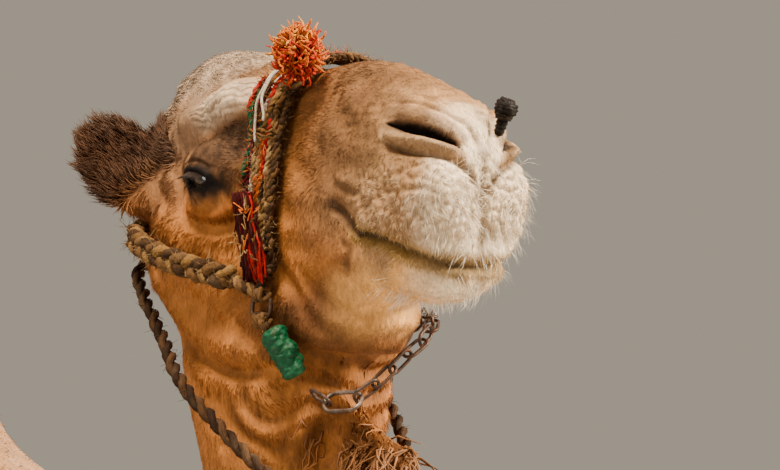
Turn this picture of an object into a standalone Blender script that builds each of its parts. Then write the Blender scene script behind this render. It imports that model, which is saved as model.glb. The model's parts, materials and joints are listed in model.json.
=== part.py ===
"""A dromedary camel standing with its head raised, at life size, wearing a rope and chain halter.

The animal faces +X with +Z up, and stands with its soles on z = 0. The flesh is modelled
whole, as lofts and rounded masses melted together by a voxel remesh, and is then parted
with thin plane cuts. The halter's ropes are laid on the finished flesh.
"""
import math

import bmesh
import bpy
from mathutils import Matrix, Vector
from mathutils.bvhtree import BVHTree

# ---------------------------------------------------------------- driving dimensions, metres
EYES_FORWARD = 1.135      # the midpoint between the eyes, ahead of the origin
EYES_HEIGHT = 2.10
HUMP_TOP = 2.13
BACK_HEIGHT = 1.86
CHEST_BOTTOM = 0.97
FORE_LEG_X = 0.44
HIND_LEG_X = -0.66
FORE_TRACK = 0.165        # half the distance between the left and right soles
HIND_TRACK = 0.175
STRIDE = 0.035            # each leg's step ahead of or behind its pair's middle
EYEBALL = 0.021           # radius
MIDDLE = 0.265            # of the whole length, ahead of the origin the tables are given from
PART_GAP = 0.0006         # the saw cut between two solids of flesh
LAY_GAP = 0.0012          # between a rope and the hide under it

# ---------------------------------------------------------------- working sizes
BODY_VOXEL = 0.018
VOXEL = 0.0055
RING_POINTS = 28          # round a loft's section
TRIANGLES = {"head": 1400, "neck": 420, "body": 1650}
HEAD = Vector((EYES_FORWARD, 0, EYES_HEIGHT))

COLOURS = {
    "coat": ((0.50, 0.33, 0.18), 0.85, 0.0),
    "dark_coat": ((0.16, 0.09, 0.05), 0.9, 0.0),
    "pad": ((0.20, 0.15, 0.11), 0.8, 0.0),
    "nail": ((0.12, 0.09, 0.07), 0.5, 0.0),
    "eye": ((0.05, 0.03, 0.02), 0.1, 0.0),
    "rope": ((0.30, 0.22, 0.13), 0.9, 0.0),
    "dark_rope": ((0.06, 0.045, 0.035), 0.9, 0.0),
    "red_wool": ((0.40, 0.05, 0.05), 0.95, 0.0),
    "orange_wool": ((0.80, 0.25, 0.07), 0.95, 0.0),
    "green_tape": ((0.02, 0.36, 0.22), 0.5, 0.0),
    "iron": ((0.22, 0.18, 0.15), 0.45, 0.9),
    "black": ((0.02, 0.02, 0.02), 0.5, 0.0),
}


def clear_scene():
    for thing in list(bpy.data.objects):
        bpy.data.objects.remove(thing, do_unlink=True)


def collection(name, hidden=False):
    made = bpy.data.collections.new(name)
    made.hide_render = hidden
    bpy.context.scene.collection.children.link(made)
    return made


def material(name):
    colour, roughness, metallic = COLOURS[name]
    made = bpy.data.materials.get(name) or bpy.data.materials.new(name)
    made.use_nodes = True
    shader = made.node_tree.nodes["Principled BSDF"]
    shader.inputs["Base Color"].default_value = (*colour, 1)
    shader.inputs["Roughness"].default_value = roughness
    shader.inputs["Metallic"].default_value = metallic
    return made


# ---------------------------------------------------------------- modelling helpers
def add_mesh(name, bm, home, finish="coat"):
    """A bmesh as a new object in a collection."""
    bmesh.ops.recalc_face_normals(bm, faces=bm.faces)
    mesh = bpy.data.meshes.new(name)
    bm.to_mesh(mesh)
    bm.free()
    made = bpy.data.objects.new(name, mesh)
    made.data.materials.append(material(finish))
    home.objects.link(made)
    return made


def settle(obj):
    """Applies the object's modifiers, in place."""
    bpy.context.view_layer.update()
    graph = bpy.context.evaluated_depsgraph_get()
    mesh = bpy.data.meshes.new_from_object(obj.evaluated_get(graph))
    obj.modifiers.clear()
    obj.data = mesh


def eased(rows, per_span=5):
    """Rows of numbers with more rows between them, on a Catmull-Rom curve through each column."""
    def blend(a, b, c, d, t):
        return 0.5 * (2 * b + (c - a) * t + (2 * a - 5 * b + 4 * c - d) * t * t
                      + (3 * b - a - 3 * c + d) * t ** 3)

    ends = [rows[0], *rows, rows[-1]]
    made = []
    for four in zip(ends, ends[1:], ends[2:], ends[3:]):
        for i in range(per_span):
            made.append([blend(*column, i / per_span) for column in zip(*four)])
    made.append(list(rows[-1]))
    return made


def add_loft(bm, stations):
    """A closed skin through rounded rings. A station is the ring's centre x, y, z, the direction
    ahead as x and z, the half width along Y, the reach above and below, and the squareness."""
    rings = []
    for x, y, z, ahead_x, ahead_z, wide, above, below, square in eased(stations):
        up = Vector((-ahead_z, 0, ahead_x)).normalized()
        ring = []
        for i in range(RING_POINTS):
            turn = math.tau * i / RING_POINTS
            across = math.copysign(abs(math.cos(turn)) ** (2 / square), math.cos(turn))
            rise = math.copysign(abs(math.sin(turn)) ** (2 / square), math.sin(turn))
            reach = above if rise > 0 else below
            ring.append(bm.verts.new(Vector((x, y + wide * across, z)) + up * reach * rise))
        rings.append(ring)
    for one, two in zip(rings, rings[1:]):
        for i in range(RING_POINTS):
            j = (i + 1) % RING_POINTS
            bm.faces.new((one[i], one[j], two[j], two[i]))
    bm.faces.new(rings[0])
    bm.faces.new(list(reversed(rings[-1])))


def add_ball(bm, centre, radii, tilt=(0, 0, 0)):
    """An ellipsoid, turned by Euler angles in degrees."""
    turn = Matrix.Identity(4)
    for axis, degrees in zip("XYZ", tilt):
        turn = Matrix.Rotation(math.radians(degrees), 4, axis) @ turn
    place = Matrix.Translation(centre) @ turn @ Matrix.Diagonal((*radii, 1))
    bmesh.ops.create_uvsphere(bm, u_segments=24, v_segments=16, radius=1, matrix=place)


def add_limb(bm, points):
    """A tube of oval sections through (x, y, z, half depth fore and aft, half width)."""
    stations = []
    for i, (x, y, z, deep, wide) in enumerate(points):
        before, after = points[max(i - 1, 0)], points[min(i + 1, len(points) - 1)]
        stations.append((x, y, z, after[0] - before[0], after[2] - before[2], wide, deep, deep, 2))
    add_loft(bm, stations)


def add_profile(bm, profile, offset=(0, 0, 0), middle=0.5):
    """A level body from rows of (ahead, top, bottom, half width, squareness)."""
    stations = []
    for x, top, bottom, wide, square in profile:
        height = bottom + (top - bottom) * middle
        stations.append((x + offset[0], offset[1], height + offset[2], 1, 0, wide,
                         top - height, height - bottom, square))
    add_loft(bm, stations)


def melted(name, bm, voxel, rounds, home):
    """The bmesh's overlapping closed shapes as one skin, with their joins rounded off."""
    made = add_mesh(name, bm, home)
    melt = made.modifiers.new("melt", "REMESH")
    melt.mode = "VOXEL"
    melt.voxel_size = voxel
    round_off = made.modifiers.new("round_off", "SMOOTH")
    round_off.factor = 0.5
    round_off.iterations = rounds
    settle(made)
    return made


# ---------------------------------------------------------------- the animal's masses
def at_head(x, y, z):
    """A place given from the point between the eyes."""
    return HEAD + Vector((x, y, z))


HEAD_PROFILE = [
    # ahead of the eyes, top, bottom, half width, squareness
    (-0.172, 0.010, -0.040, 0.020, 2.0),
    (-0.164, 0.038, -0.075, 0.046, 2.0),
    (-0.148, 0.064, -0.105, 0.062, 2.0),
    (-0.120, 0.092, -0.130, 0.071, 2.1),
    (-0.085, 0.102, -0.150, 0.075, 2.1),
    (-0.045, 0.096, -0.158, 0.076, 2.2),
    (-0.005, 0.086, -0.156, 0.074, 2.2),
    (0.035, 0.073, -0.150, 0.066, 2.3),
    (0.075, 0.064, -0.143, 0.058, 2.4),
    (0.115, 0.063, -0.135, 0.053, 2.4),
    (0.155, 0.058, -0.122, 0.050, 2.3),
    (0.195, 0.042, -0.110, 0.051, 2.3),
    (0.230, 0.024, -0.102, 0.049, 2.4),
    (0.256, 0.008, -0.094, 0.041, 2.5),
    (0.270, -0.008, -0.084, 0.026, 2.2),
]


def head_masses(bm):
    """Skull, cheeks, muzzle and lips."""
    add_profile(bm, HEAD_PROFILE, HEAD)
    add_ball(bm, at_head(-0.088, 0, 0.040), (0.066, 0.060, 0.063))               # crown
    add_ball(bm, at_head(0.205, 0, -0.103), (0.062, 0.045, 0.030), (0, 6, 0))    # lower lip
    add_ball(bm, at_head(0.168, 0, -0.104), (0.058, 0.040, 0.029))               # chin
    add_ball(bm, at_head(0.070, 0, -0.136), (0.084, 0.060, 0.060))               # throat
    for side in (-1, 1):
        add_ball(bm, at_head(-0.004, side * 0.043, -0.020), (0.066, 0.0465, 0.052))          # orbit
        add_ball(bm, at_head(0.008, side * 0.044, 0.028), (0.062, 0.032, 0.030), (0, -10, side * 14))
        add_ball(bm, at_head(-0.058, side * 0.046, -0.092), (0.092, 0.043, 0.082))          # jowl
        add_ball(bm, at_head(0.092, side * 0.032, -0.066), (0.095, 0.029, 0.062))           # cheek
        add_ball(bm, at_head(0.216, side * 0.023, -0.013), (0.058, 0.028, 0.036), (0, 22, side * -12))
        add_ball(bm, at_head(0.222, side * 0.025, -0.056), (0.056, 0.032, 0.048), (0, 12, 0))


NECK_PATH = [
    # ahead of the eyes, above them, half depth, half width
    (-0.060, -0.040, 0.080, 0.060),
    (-0.040, -0.100, 0.122, 0.074),
    (-0.012, -0.172, 0.126, 0.088),
    (-0.004, -0.235, 0.107, 0.082),
    (0.000, -0.300, 0.092, 0.076),
    (0.008, -0.400, 0.094, 0.076),
    (0.010, -0.510, 0.102, 0.079),
    (-0.030, -0.630, 0.116, 0.084),
    (-0.130, -0.720, 0.138, 0.094),
    (-0.270, -0.750, 0.168, 0.112),
    (-0.410, -0.705, 0.200, 0.135),
    (-0.560, -0.620, 0.220, 0.150),
    (-0.720, -0.520, 0.180, 0.130),
]
BEARD_PATH = [
    # the shaggy hair down the throat, as above
    (0.108, -0.212, 0.018, 0.018),
    (0.136, -0.248, 0.042, 0.029),
    (0.142, -0.320, 0.044, 0.032),
    (0.134, -0.430, 0.042, 0.032),
    (0.118, -0.530, 0.038, 0.031),
    (0.086, -0.625, 0.036, 0.030),
    (0.032, -0.712, 0.034, 0.029),
    (-0.045, -0.785, 0.030, 0.027),
    (-0.130, -0.825, 0.022, 0.024),
]


def add_hanging(bm, path):
    """A limb along a path given from the point between the eyes."""
    add_limb(bm, [(EYES_FORWARD + x, 0, EYES_HEIGHT + z, deep, wide) for x, z, deep, wide in path])


TRUNK_PROFILE = [
    # ahead, top below the back, bottom above the chest, half width, squareness
    (0.640, -0.420, 0.320, 0.060, 2.0),
    (0.600, -0.290, 0.190, 0.130, 2.0),
    (0.520, -0.150, 0.070, 0.190, 2.1),
    (0.380, -0.050, 0.000, 0.235, 2.2),
    (0.180, -0.005, 0.010, 0.285, 2.2),
    (-0.040, 0.005, 0.075, 0.300, 2.2),
    (-0.240, -0.015, 0.180, 0.280, 2.2),
    (-0.400, -0.060, 0.285, 0.235, 2.1),
    (-0.540, -0.120, 0.340, 0.200, 2.1),
    (-0.670, -0.200, 0.390, 0.160, 2.0),
    (-0.760, -0.300, 0.430, 0.080, 2.0),
]
HUMP_PROFILE = [
    # ahead, top below the hump's top, half width
    (0.400, -0.330, 0.040),
    (0.300, -0.240, 0.090),
    (0.190, -0.130, 0.125),
    (0.080, -0.045, 0.140),
    (-0.040, 0.000, 0.145),
    (-0.150, -0.025, 0.140),
    (-0.260, -0.120, 0.125),
    (-0.360, -0.240, 0.090),
    (-0.450, -0.330, 0.040),
]


def trunk_masses(bm):
    add_profile(bm, [(x, BACK_HEIGHT + top, CHEST_BOTTOM + bottom, wide, square)
                     for x, top, bottom, wide, square in TRUNK_PROFILE], middle=0.52)
    add_profile(bm, [(x, HUMP_TOP + top, BACK_HEIGHT - 0.20, wide, 2.0)
                     for x, top, wide in HUMP_PROFILE], middle=0.3)
    add_ball(bm, (0.37, 0, CHEST_BOTTOM + 0.015), (0.12, 0.085, 0.055))    # sternal pad
    for side in (-1, 1):
        add_ball(bm, (FORE_LEG_X - 0.01, side * 0.138, 1.43), (0.16, 0.080, 0.28), (0, 12, 0))
        add_ball(bm, (FORE_LEG_X + 0.02, side * 0.150, 1.20), (0.13, 0.080, 0.16))
        add_ball(bm, (HIND_LEG_X + 0.09, side * 0.115, 1.48), (0.20, 0.090, 0.26), (0, -14, 0))
        add_limb(bm, hip_path(side))
        add_limb(bm, shoulder_path(side))


def shoulder_path(side):
    x = FORE_LEG_X
    return [
        (x + 0.06, side * 0.150, 1.36, 0.110, 0.070),
        (x + 0.00, side * 0.165, 1.18, 0.110, 0.072),
        (x - 0.03, side * 0.175, 1.04, 0.086, 0.062),
        (x - 0.02, side * 0.174, 0.92, 0.066, 0.053),
    ]


def hip_path(side):
    x = HIND_LEG_X
    return [
        (x + 0.09, side * 0.130, 1.44, 0.160, 0.085),
        (x + 0.14, side * 0.165, 1.26, 0.130, 0.082),
        (x + 0.18, side * 0.185, 1.11, 0.098, 0.068),
        (x + 0.13, side * 0.188, 0.97, 0.080, 0.060),
    ]


def fore_leg(bm, side, step):
    y, x = side * FORE_TRACK, FORE_LEG_X
    add_limb(bm, [
        (x - 0.03, side * 0.175, 1.04, 0.076, 0.056),
        (x - 0.02, side * 0.174, 0.90, 0.064, 0.053),
        (x + 0.4 * step, side * 0.170, 0.77, 0.052, 0.047),
        (x + 0.5 * step, y, 0.67, 0.047, 0.046),
        (x + 0.6 * step, y, 0.60, 0.053, 0.052),
        (x + 0.7 * step, y, 0.52, 0.042, 0.043),
        (x + 0.8 * step, y, 0.38, 0.035, 0.034),
        (x + 0.95 * step, y, 0.22, 0.036, 0.036),
        (x + step, y, 0.14, 0.047, 0.046),
        (x + 0.02 + step, y, 0.08, 0.050, 0.053),
        (x + 0.03 + step, y, 0.02, 0.055, 0.060),
    ])
    add_ball(bm, (x + 0.018 + 0.6 * step, y, 0.605), (0.046, 0.048, 0.062))    # knee
    add_foot(bm, x + 0.032 + step, y, 0.104, 0.078)


def hind_leg(bm, side, step):
    y, x = side * HIND_TRACK, HIND_LEG_X
    add_limb(bm, [
        (x + 0.16, side * 0.187, 1.06, 0.084, 0.062),
        (x + 0.11, side * 0.187, 0.94, 0.074, 0.057),
        (x + 0.03, side * 0.182, 0.80, 0.056, 0.047),
        (x - 0.04 + 0.3 * step, y, 0.70, 0.048, 0.041),
        (x - 0.06 + 0.4 * step, y, 0.63, 0.050, 0.042),
        (x - 0.055 + 0.5 * step, y, 0.55, 0.044, 0.040),
        (x - 0.04 + 0.7 * step, y, 0.40, 0.035, 0.033),
        (x - 0.02 + 0.9 * step, y, 0.22, 0.036, 0.035),
        (x - 0.01 + step, y, 0.14, 0.046, 0.044),
        (x + 0.015 + step, y, 0.08, 0.048, 0.050),
        (x + 0.025 + step, y, 0.02, 0.052, 0.056),
    ])
    add_ball(bm, (x - 0.082 + 0.4 * step, y, 0.675), (0.036, 0.034, 0.050))    # point of the hock
    add_ball(bm, (x + 0.215, side * 0.190, 1.075), (0.052, 0.052, 0.070))      # stifle
    add_foot(bm, x + 0.028 + step, y, 0.096, 0.072)


def add_foot(bm, x, y, long, wide):
    """A broad pad with two toes. The sole is cut flat afterwards."""
    add_ball(bm, (x, y, 0.012), (long * 0.92, wide, 0.056))
    for toe in (-1, 1):
        add_ball(bm, (x + 0.46 * long, y + toe * wide * 0.45, 0.016),
                 (long * 0.62, wide * 0.47, 0.042))


TAIL_PATH = [
    # x, z, half depth, half width
    (-0.720, 1.610, 0.060, 0.050),
    (-0.780, 1.545, 0.038, 0.040),
    (-0.822, 1.430, 0.027, 0.030),
    (-0.842, 1.280, 0.022, 0.025),
    (-0.848, 1.140, 0.023, 0.027),
    (-0.850, 1.050, 0.033, 0.036),
    (-0.850, 0.960, 0.032, 0.036),
    (-0.848, 0.870, 0.010, 0.012),
]


def whole_animal(home):
    """All the flesh but the ears, melted into one skin."""
    bm = bmesh.new()
    trunk_masses(bm)
    add_hanging(bm, NECK_PATH)
    body = melted("body", bm, BODY_VOXEL, 10, home)
    bm = bmesh.new()
    bm.from_mesh(body.data)
    bpy.data.objects.remove(body)
    head_masses(bm)
    add_hanging(bm, NECK_PATH[:6])
    add_hanging(bm, BEARD_PATH)
    add_limb(bm, [(x, 0, z, deep, wide) for x, z, deep, wide in TAIL_PATH])
    for side in (-1, 1):
        fore_leg(bm, side, STRIDE * side)
        hind_leg(bm, side, -STRIDE * side)
    return melted("animal", bm, VOXEL, 16, home)


# ---------------------------------------------------------------- parting the flesh
def plane_cut(obj, point, normal, keep_ahead=True):
    """Saws a closed mesh along a plane and keeps the side that the normal points to."""
    normal = Vector(normal).normalized() * (1 if keep_ahead else -1)
    bm = bmesh.new()
    bm.from_mesh(obj.data)
    bmesh.ops.bisect_plane(bm, geom=bm.verts[:] + bm.edges[:] + bm.faces[:], dist=1e-6,
                           plane_co=Vector(point) + normal * PART_GAP / 2, plane_no=normal,
                           clear_inner=True)
    rim = [edge for edge in bm.edges if edge.is_boundary]
    bmesh.ops.triangle_fill(bm, edges=rim, use_beauty=True, normal=-normal)
    bmesh.ops.recalc_face_normals(bm, faces=bm.faces)
    bm.to_mesh(obj.data)
    bm.free()


def twin(obj, name, home):
    made = bpy.data.objects.new(name, obj.data.copy())
    home.objects.link(made)
    return made


def thin_out(obj, triangles):
    """Fewer, larger facets, down to a number of triangles."""
    now = sum(len(face.vertices) - 2 for face in obj.data.polygons)
    fewer = obj.modifiers.new("fewer", "DECIMATE")
    fewer.ratio = min(1, triangles / now)
    settle(obj)


def box_of(name, low, high, home):
    """A box between two corners, as a cutter."""
    bm = bmesh.new()
    bmesh.ops.create_cube(bm, size=1)
    middle = (Vector(low) + Vector(high)) / 2
    size = Vector(high) - Vector(low)
    bmesh.ops.transform(bm, verts=bm.verts,
                        matrix=Matrix.Translation(middle) @ Matrix.Diagonal((*size, 1)))
    return as_cutter(add_mesh(name, bm, home))


def as_cutter(obj):
    obj.hide_render = True
    obj.display_type = "WIRE"
    return obj


def boolean(obj, cutter, operation="DIFFERENCE"):
    carve = obj.modifiers.new(operation.lower(), "BOOLEAN")
    carve.operation = operation
    carve.solver = "EXACT"
    carve.object = cutter
    settle(obj)
    # a neat mesh for the next step: no doubled points
    bm = bmesh.new()
    bm.from_mesh(obj.data)
    bmesh.ops.remove_doubles(bm, verts=bm.verts, dist=1e-6)
    bmesh.ops.dissolve_degenerate(bm, edges=bm.edges, dist=1e-6)
    bm.to_mesh(obj.data)
    bm.free()


# ---------------------------------------------------------------- the cuts, from the same origin
HEAD_CUT = ((EYES_FORWARD - 0.165, 0, EYES_HEIGHT - 0.085), (0.30, 0, 0.954))
NECK_CUT = ((0.665, 0, 0), (1, 0, 0))
HUMP_CUT = ((0, 0, BACK_HEIGHT + 0.02), (0, 0, 1))
TAIL_CUT = ((-0.792, 0, 0), (-1, 0, 0))
TUFT_CUT = ((0, 0, 1.090), (0, 0, -1))
PAD_CUT = ((0, 0, CHEST_BOTTOM + 0.010), (0, 0, -1))
LEGS = {
    # the box round the leg's root: back, front, inner side, top; then knee or hock, and fetlock
    "fore": (0.290, 0.640, 0.084, 1.100, 0.605, 0.145),
    "hind": (-1.000, -0.330, 0.060, 1.200, 0.660, 0.145),
}


def halves(flesh, cut, ahead_name, ahead_home, behind_name, behind_home):
    """Both sides of a plane cut, as two new objects."""
    ahead = twin(flesh, ahead_name, ahead_home)
    plane_cut(ahead, *cut)
    behind = twin(flesh, behind_name, behind_home)
    plane_cut(behind, *cut, keep_ahead=False)
    return ahead, behind


def part_the_flesh(animal, home, cutters):
    """Thin plane cuts divide the animal into its named parts."""
    head, rest = halves(animal, HEAD_CUT, "head", home, "rest", cutters)
    neck, body = halves(rest, NECK_CUT, "neck", home, "body", cutters)
    for piece, cut, ahead in ((head, HEAD_CUT, True), (neck, NECK_CUT, True), (body, NECK_CUT, False)):
        thin_out(piece, TRIANGLES[piece.name])
        plane_cut(piece, *cut, keep_ahead=ahead)
    plane_cut(neck, *HEAD_CUT, keep_ahead=False)
    plane_cut(body, (0, 0, 0), (0, 0, 1))                   # the soles
    body.data.transform(Matrix.Translation((0, 0, -PART_GAP / 2)))

    regions = []
    for pair, (back, front, inner, top, knee, fetlock) in LEGS.items():
        for side, hand in ((-1, "right"), (1, "left")):
            near, far = sorted((side * inner, side * 0.6))
            region = box_of(f"{pair}_{hand}_region", (back, near, -0.1), (front, far, top), cutters)
            leg = twin(body, f"{pair}_{hand}_leg", cutters)
            boolean(leg, region, "INTERSECT")
            regions.append(box_of(f"{pair}_{hand}_wider", (back - PART_GAP, near - PART_GAP, -0.1),
                                  (front + PART_GAP, far + PART_GAP, top + PART_GAP), cutters))
            _, leg = halves(leg, ((0, 0, knee), (0, 0, 1)), f"{pair}_upper_{hand}", home,
                            f"{pair}_shank", cutters)
            halves(leg, ((0, 0, fetlock), (0, 0, 1)), f"{pair}_lower_{hand}", home,
                   f"{pair}_foot_{hand}", home)
    for region in regions:
        boolean(body, region)
    tail, body = halves(body, TAIL_CUT, "whole_tail", cutters, "humped", cutters)
    halves(tail, TUFT_CUT, "tail_tuft", home, "tail", home)
    _, body = halves(body, HUMP_CUT, "hump", home, "humpless", cutters)
    halves(body, PAD_CUT, "chest_pad", home, "trunk", home)


# ---------------------------------------------------------------- eyes, ears, nostrils, mouth, nails
def ball(name, centre, radii, home, finish="coat", tilt=(0, 0, 0), segments=(16, 10)):
    """An ellipsoid as an object."""
    bm = bmesh.new()
    turn = Matrix.Identity(4)
    for axis, degrees in zip("XYZ", tilt):
        turn = Matrix.Rotation(math.radians(degrees), 4, axis) @ turn
    bmesh.ops.create_uvsphere(bm, u_segments=segments[0], v_segments=segments[1], radius=1,
                              matrix=Matrix.Translation(centre) @ turn @ Matrix.Diagonal((*radii, 1)))
    return add_mesh(name, bm, home, finish)


def swollen(obj, amount, name, home):
    """A copy with its surface moved out by a small amount."""
    made = twin(obj, name, home)
    moved = [vertex.co + vertex.normal * amount for vertex in obj.data.vertices]
    for vertex, place in zip(made.data.vertices, moved):
        vertex.co = place
    return as_cutter(made)


def sweep(name, points, ups, half_wide, half_thick, home, finish, closed=False, sides=6, square=2):
    """A rope or band along a path. Its width lies across the path and its thickness along up."""
    bm = bmesh.new()
    rings = [[bm.verts.new(place) for place in ring]
             for ring in sections(points, ups, half_wide, half_thick, closed, sides, square)]
    for one, two in zip(rings, rings[1:] + (rings[:1] if closed else [])):
        for i in range(sides):
            j = (i + 1) % sides
            bm.faces.new((one[i], one[j], two[j], two[i]))
    if not closed:
        bm.faces.new(rings[0])
        bm.faces.new(list(reversed(rings[-1])))
    return add_mesh(name, bm, home, finish)


def sections(points, ups, half_wide, half_thick, closed, sides, square):
    """The rings of a sweep. Widths and thicknesses are numbers, or one number for each point."""
    count = len(points)
    rings = []
    for k, place in enumerate(points):
        before = points[(k - 1) % count] if closed or k else place
        after = points[(k + 1) % count] if closed or k < count - 1 else place
        along = (after - before).normalized()
        up = (ups[k] - along * ups[k].dot(along)).normalized()
        side = along.cross(up)
        wide = half_wide[k] if isinstance(half_wide, list) else half_wide
        thick = half_thick[k] if isinstance(half_thick, list) else half_thick
        ring = []
        for i in range(sides):
            turn = math.tau * (i + 0.5) / sides
            across = math.copysign(abs(math.cos(turn)) ** (2 / square), math.cos(turn))
            rise = math.copysign(abs(math.sin(turn)) ** (2 / square), math.sin(turn))
            ring.append(place + side * wide * across + up * thick * rise)
        rings.append(ring)
    return rings


EAR_ROWS = [
    # along the ear, half width, cup depth, half thickness
    (-0.022, 0.022, 0.002, 0.0170),
    (0.002, 0.029, 0.007, 0.0155),
    (0.020, 0.035, 0.013, 0.0125),
    (0.040, 0.035, 0.015, 0.0105),
    (0.058, 0.027, 0.011, 0.0090),
    (0.072, 0.013, 0.004, 0.0060),
]


def make_ear(side, hand, head, home, cutters):
    """A cupped ear that points out and back and opens forward."""
    root = at_head(-0.128, side * 0.070, -0.024)
    along = Vector((-0.22, side * 0.66, 0.72)).normalized()
    ahead = Vector((0.86, side * 0.45, 0.05))
    ahead = (ahead - along * ahead.dot(along)).normalized()
    across = along.cross(ahead)
    bm = bmesh.new()
    rings = []
    for reach, wide, cup, thick in eased(EAR_ROWS, 2):
        ring = []
        for i in range(10):
            turn = math.tau * i / 10
            over = math.cos(turn)
            depth = cup * (over * over - 0.6) + thick * math.sin(turn)
            ring.append(bm.verts.new(root + along * reach + across * wide * over + ahead * depth))
        rings.append(ring)
    for one, two in zip(rings, rings[1:]):
        for i in range(10):
            j = (i + 1) % 10
            bm.faces.new((one[i], one[j], two[j], two[i]))
    bm.faces.new(rings[0])
    bm.faces.new(list(reversed(rings[-1])))
    ear = add_mesh(f"ear_{hand}", bm, home, "dark_coat")
    boolean(ear, swollen(head, PART_GAP, f"ear_{hand}_seat", cutters))
    return ear


def shape_the_face(head, home, cutters):
    """Eyeballs in their sockets, nostrils, the mouth's line and the cleft of the lip."""
    for side, hand in ((-1, "right"), (1, "left")):
        centre = at_head(0.002, side * 0.0665, -0.022)
        ball(f"eye_{hand}", centre, (EYEBALL,) * 3, home, "eye", segments=(12, 8))
        boolean(head, as_cutter(ball(f"socket_{hand}", centre, (EYEBALL + 2 * PART_GAP,) * 3,
                                     cutters, segments=(12, 8))))
        boolean(head, as_cutter(ball(f"lids_{hand}", at_head(0.003, side * 0.096, -0.023),
                                     (0.021, 0.020, 0.0095), cutters, tilt=(0, -8, 0),
                                     segments=(12, 7))))
        boolean(head, as_cutter(ball(f"nostril_{hand}", at_head(0.245, side * 0.036, -0.010),
                                     (0.036, 0.012, 0.0060), cutters, tilt=(0, 20, side * -24),
                                     segments=(12, 7))))
    tree = tree_of([head])
    route = [at_head(x, side * y, z) for side, rows in ((-1, MOUTH_LINE), (1, MOUTH_LINE[::-1]))
             for x, y, z in rows]
    line = [on_the_hide(tree, place) for place in even(route, 18)]
    boolean(head, as_cutter(sweep("mouth_line", line, [Vector((0, 0, 1))] * len(line),
                                  0.0045, 0.0032, cutters, "coat", sides=5)))
    cleft = [on_the_hide(tree, at_head(0.300, 0, z)) for z in (-0.036, -0.050, -0.064, -0.078, -0.090)]
    boolean(head, as_cutter(sweep("cleft", cleft, [Vector((1, 0, 0))] * len(cleft),
                                  0.0026, 0.0036, cutters, "coat", sides=5)))


MOUTH_LINE = [
    (0.158, 0.056, -0.066),
    (0.176, 0.058, -0.080),
    (0.219, 0.056, -0.091),
    (0.256, 0.050, -0.098),
    (0.284, 0.028, -0.098),
    (0.292, 0.002, -0.094),
]


def make_nails(home, cutters):
    """Two nails at the front of each foot, each in its own socket."""
    for pair, x, y, step, long, wide in (
        ("fore", FORE_LEG_X + 0.032, FORE_TRACK, STRIDE, 0.104, 0.078),
        ("hind", HIND_LEG_X + 0.028, HIND_TRACK, -STRIDE, 0.096, 0.072),
    ):
        for side, hand in ((-1, "right"), (1, "left")):
            foot = bpy.data.objects[f"{pair}_foot_{hand}"]
            for toe, which in ((-1, "outer"), (1, "inner")):
                toe_y = side * y - side * toe * -1 * wide * 0.45
                centre = (x + side * step + 0.93 * long, toe_y, 0.026)
                radii = (0.020, 0.015, 0.014)
                ball(f"nail_{pair}_{hand}_{which}", centre, radii, home, "nail", (0, 24, 0), (7, 4))
                boolean(foot, as_cutter(ball(f"{pair}_{hand}_{which}_nail_seat", centre,
                                             [r + 2.5 * PART_GAP for r in radii], cutters,
                                             tilt=(0, 24, 0), segments=(7, 5))))


# ---------------------------------------------------------------- laying ropes on the hide
def tree_of(objects):
    """One search tree over the surfaces of several meshes, but for the sawn faces at the nape."""
    point, normal = Vector(HEAD_CUT[0]), Vector(HEAD_CUT[1]).normalized()
    places, faces = [], []
    for obj in objects:
        start = len(places)
        places += [vertex.co.copy() for vertex in obj.data.vertices]
        sawn = {vertex.index for vertex in obj.data.vertices
                if abs((vertex.co - point).dot(normal)) < 0.001}
        faces += [[start + i for i in face.vertices] for face in obj.data.polygons
                  if not sawn.issuperset(face.vertices)]
    return BVHTree.FromPolygons(places, faces)


def on_the_hide(tree, place):
    return tree.find_nearest(place)[0]


def clearance(tree, place):
    """How far a place is outside the hide, and the way out."""
    spot, normal, _, distance = tree.find_nearest(place)
    out = place - spot
    if out.dot(normal) < -0.5 * distance and distance < 0.03:
        return -distance, normal
    return distance, out.normalized() if distance > 1e-5 else normal


def even(points, count, closed=False):
    """Places at even steps along a path."""
    loop = points + points[:1] if closed else points
    lengths = [0]
    for a, b in zip(loop, loop[1:]):
        lengths.append(lengths[-1] + (b - a).length)
    made, k = [], 0
    for i in range(count):
        want = lengths[-1] * i / (count if closed else count - 1)
        while k < len(loop) - 2 and lengths[k + 1] < want:
            k += 1
        made.append(loop[k].lerp(loop[k + 1], (want - lengths[k]) / (lengths[k + 1] - lengths[k])))
    return made


def girdle(tree, centre, ahead, turns):
    """Where a plane through the centre meets the outside of the hide, at angles from ahead to
    the left in degrees."""
    ahead = Vector(ahead).normalized()
    made = []
    for turn in turns:
        out = ahead * math.cos(math.radians(turn)) + Vector((0, math.sin(math.radians(turn)), 0))
        hit = tree.ray_cast(Vector(centre) + out * 0.3, -out, 0.3)[0]
        if hit:
            made.append(hit)
    return made


def pulled_taut(tree, points, reach, plane=None, closed=False, rounds=120):
    """Shortens a path as far as the hide lets it, staying a set distance off. It can be held in
    a plane through a point, given with two directions that lie in the plane."""
    points = [place.copy() for place in points]
    normal = Vector(plane[1]).cross(Vector((0, 1, 0))).normalized() if plane else None

    def held(place):
        return place - normal * (place - plane[0]).dot(normal) if plane else place

    for _ in range(rounds):
        for k in range(0 if closed else 1, len(points) - (0 if closed else 1)):
            place = (points[k - 1] + points[(k + 1) % len(points)]) / 2
            distance, out = clearance(tree, place)
            points[k] = held(place + out * max(0, reach - distance))
    for _ in range(4):
        for k, place in enumerate(points):
            distance, out = clearance(tree, place)
            points[k] = held(place + out * max(0, reach - distance))
    return points


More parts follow.
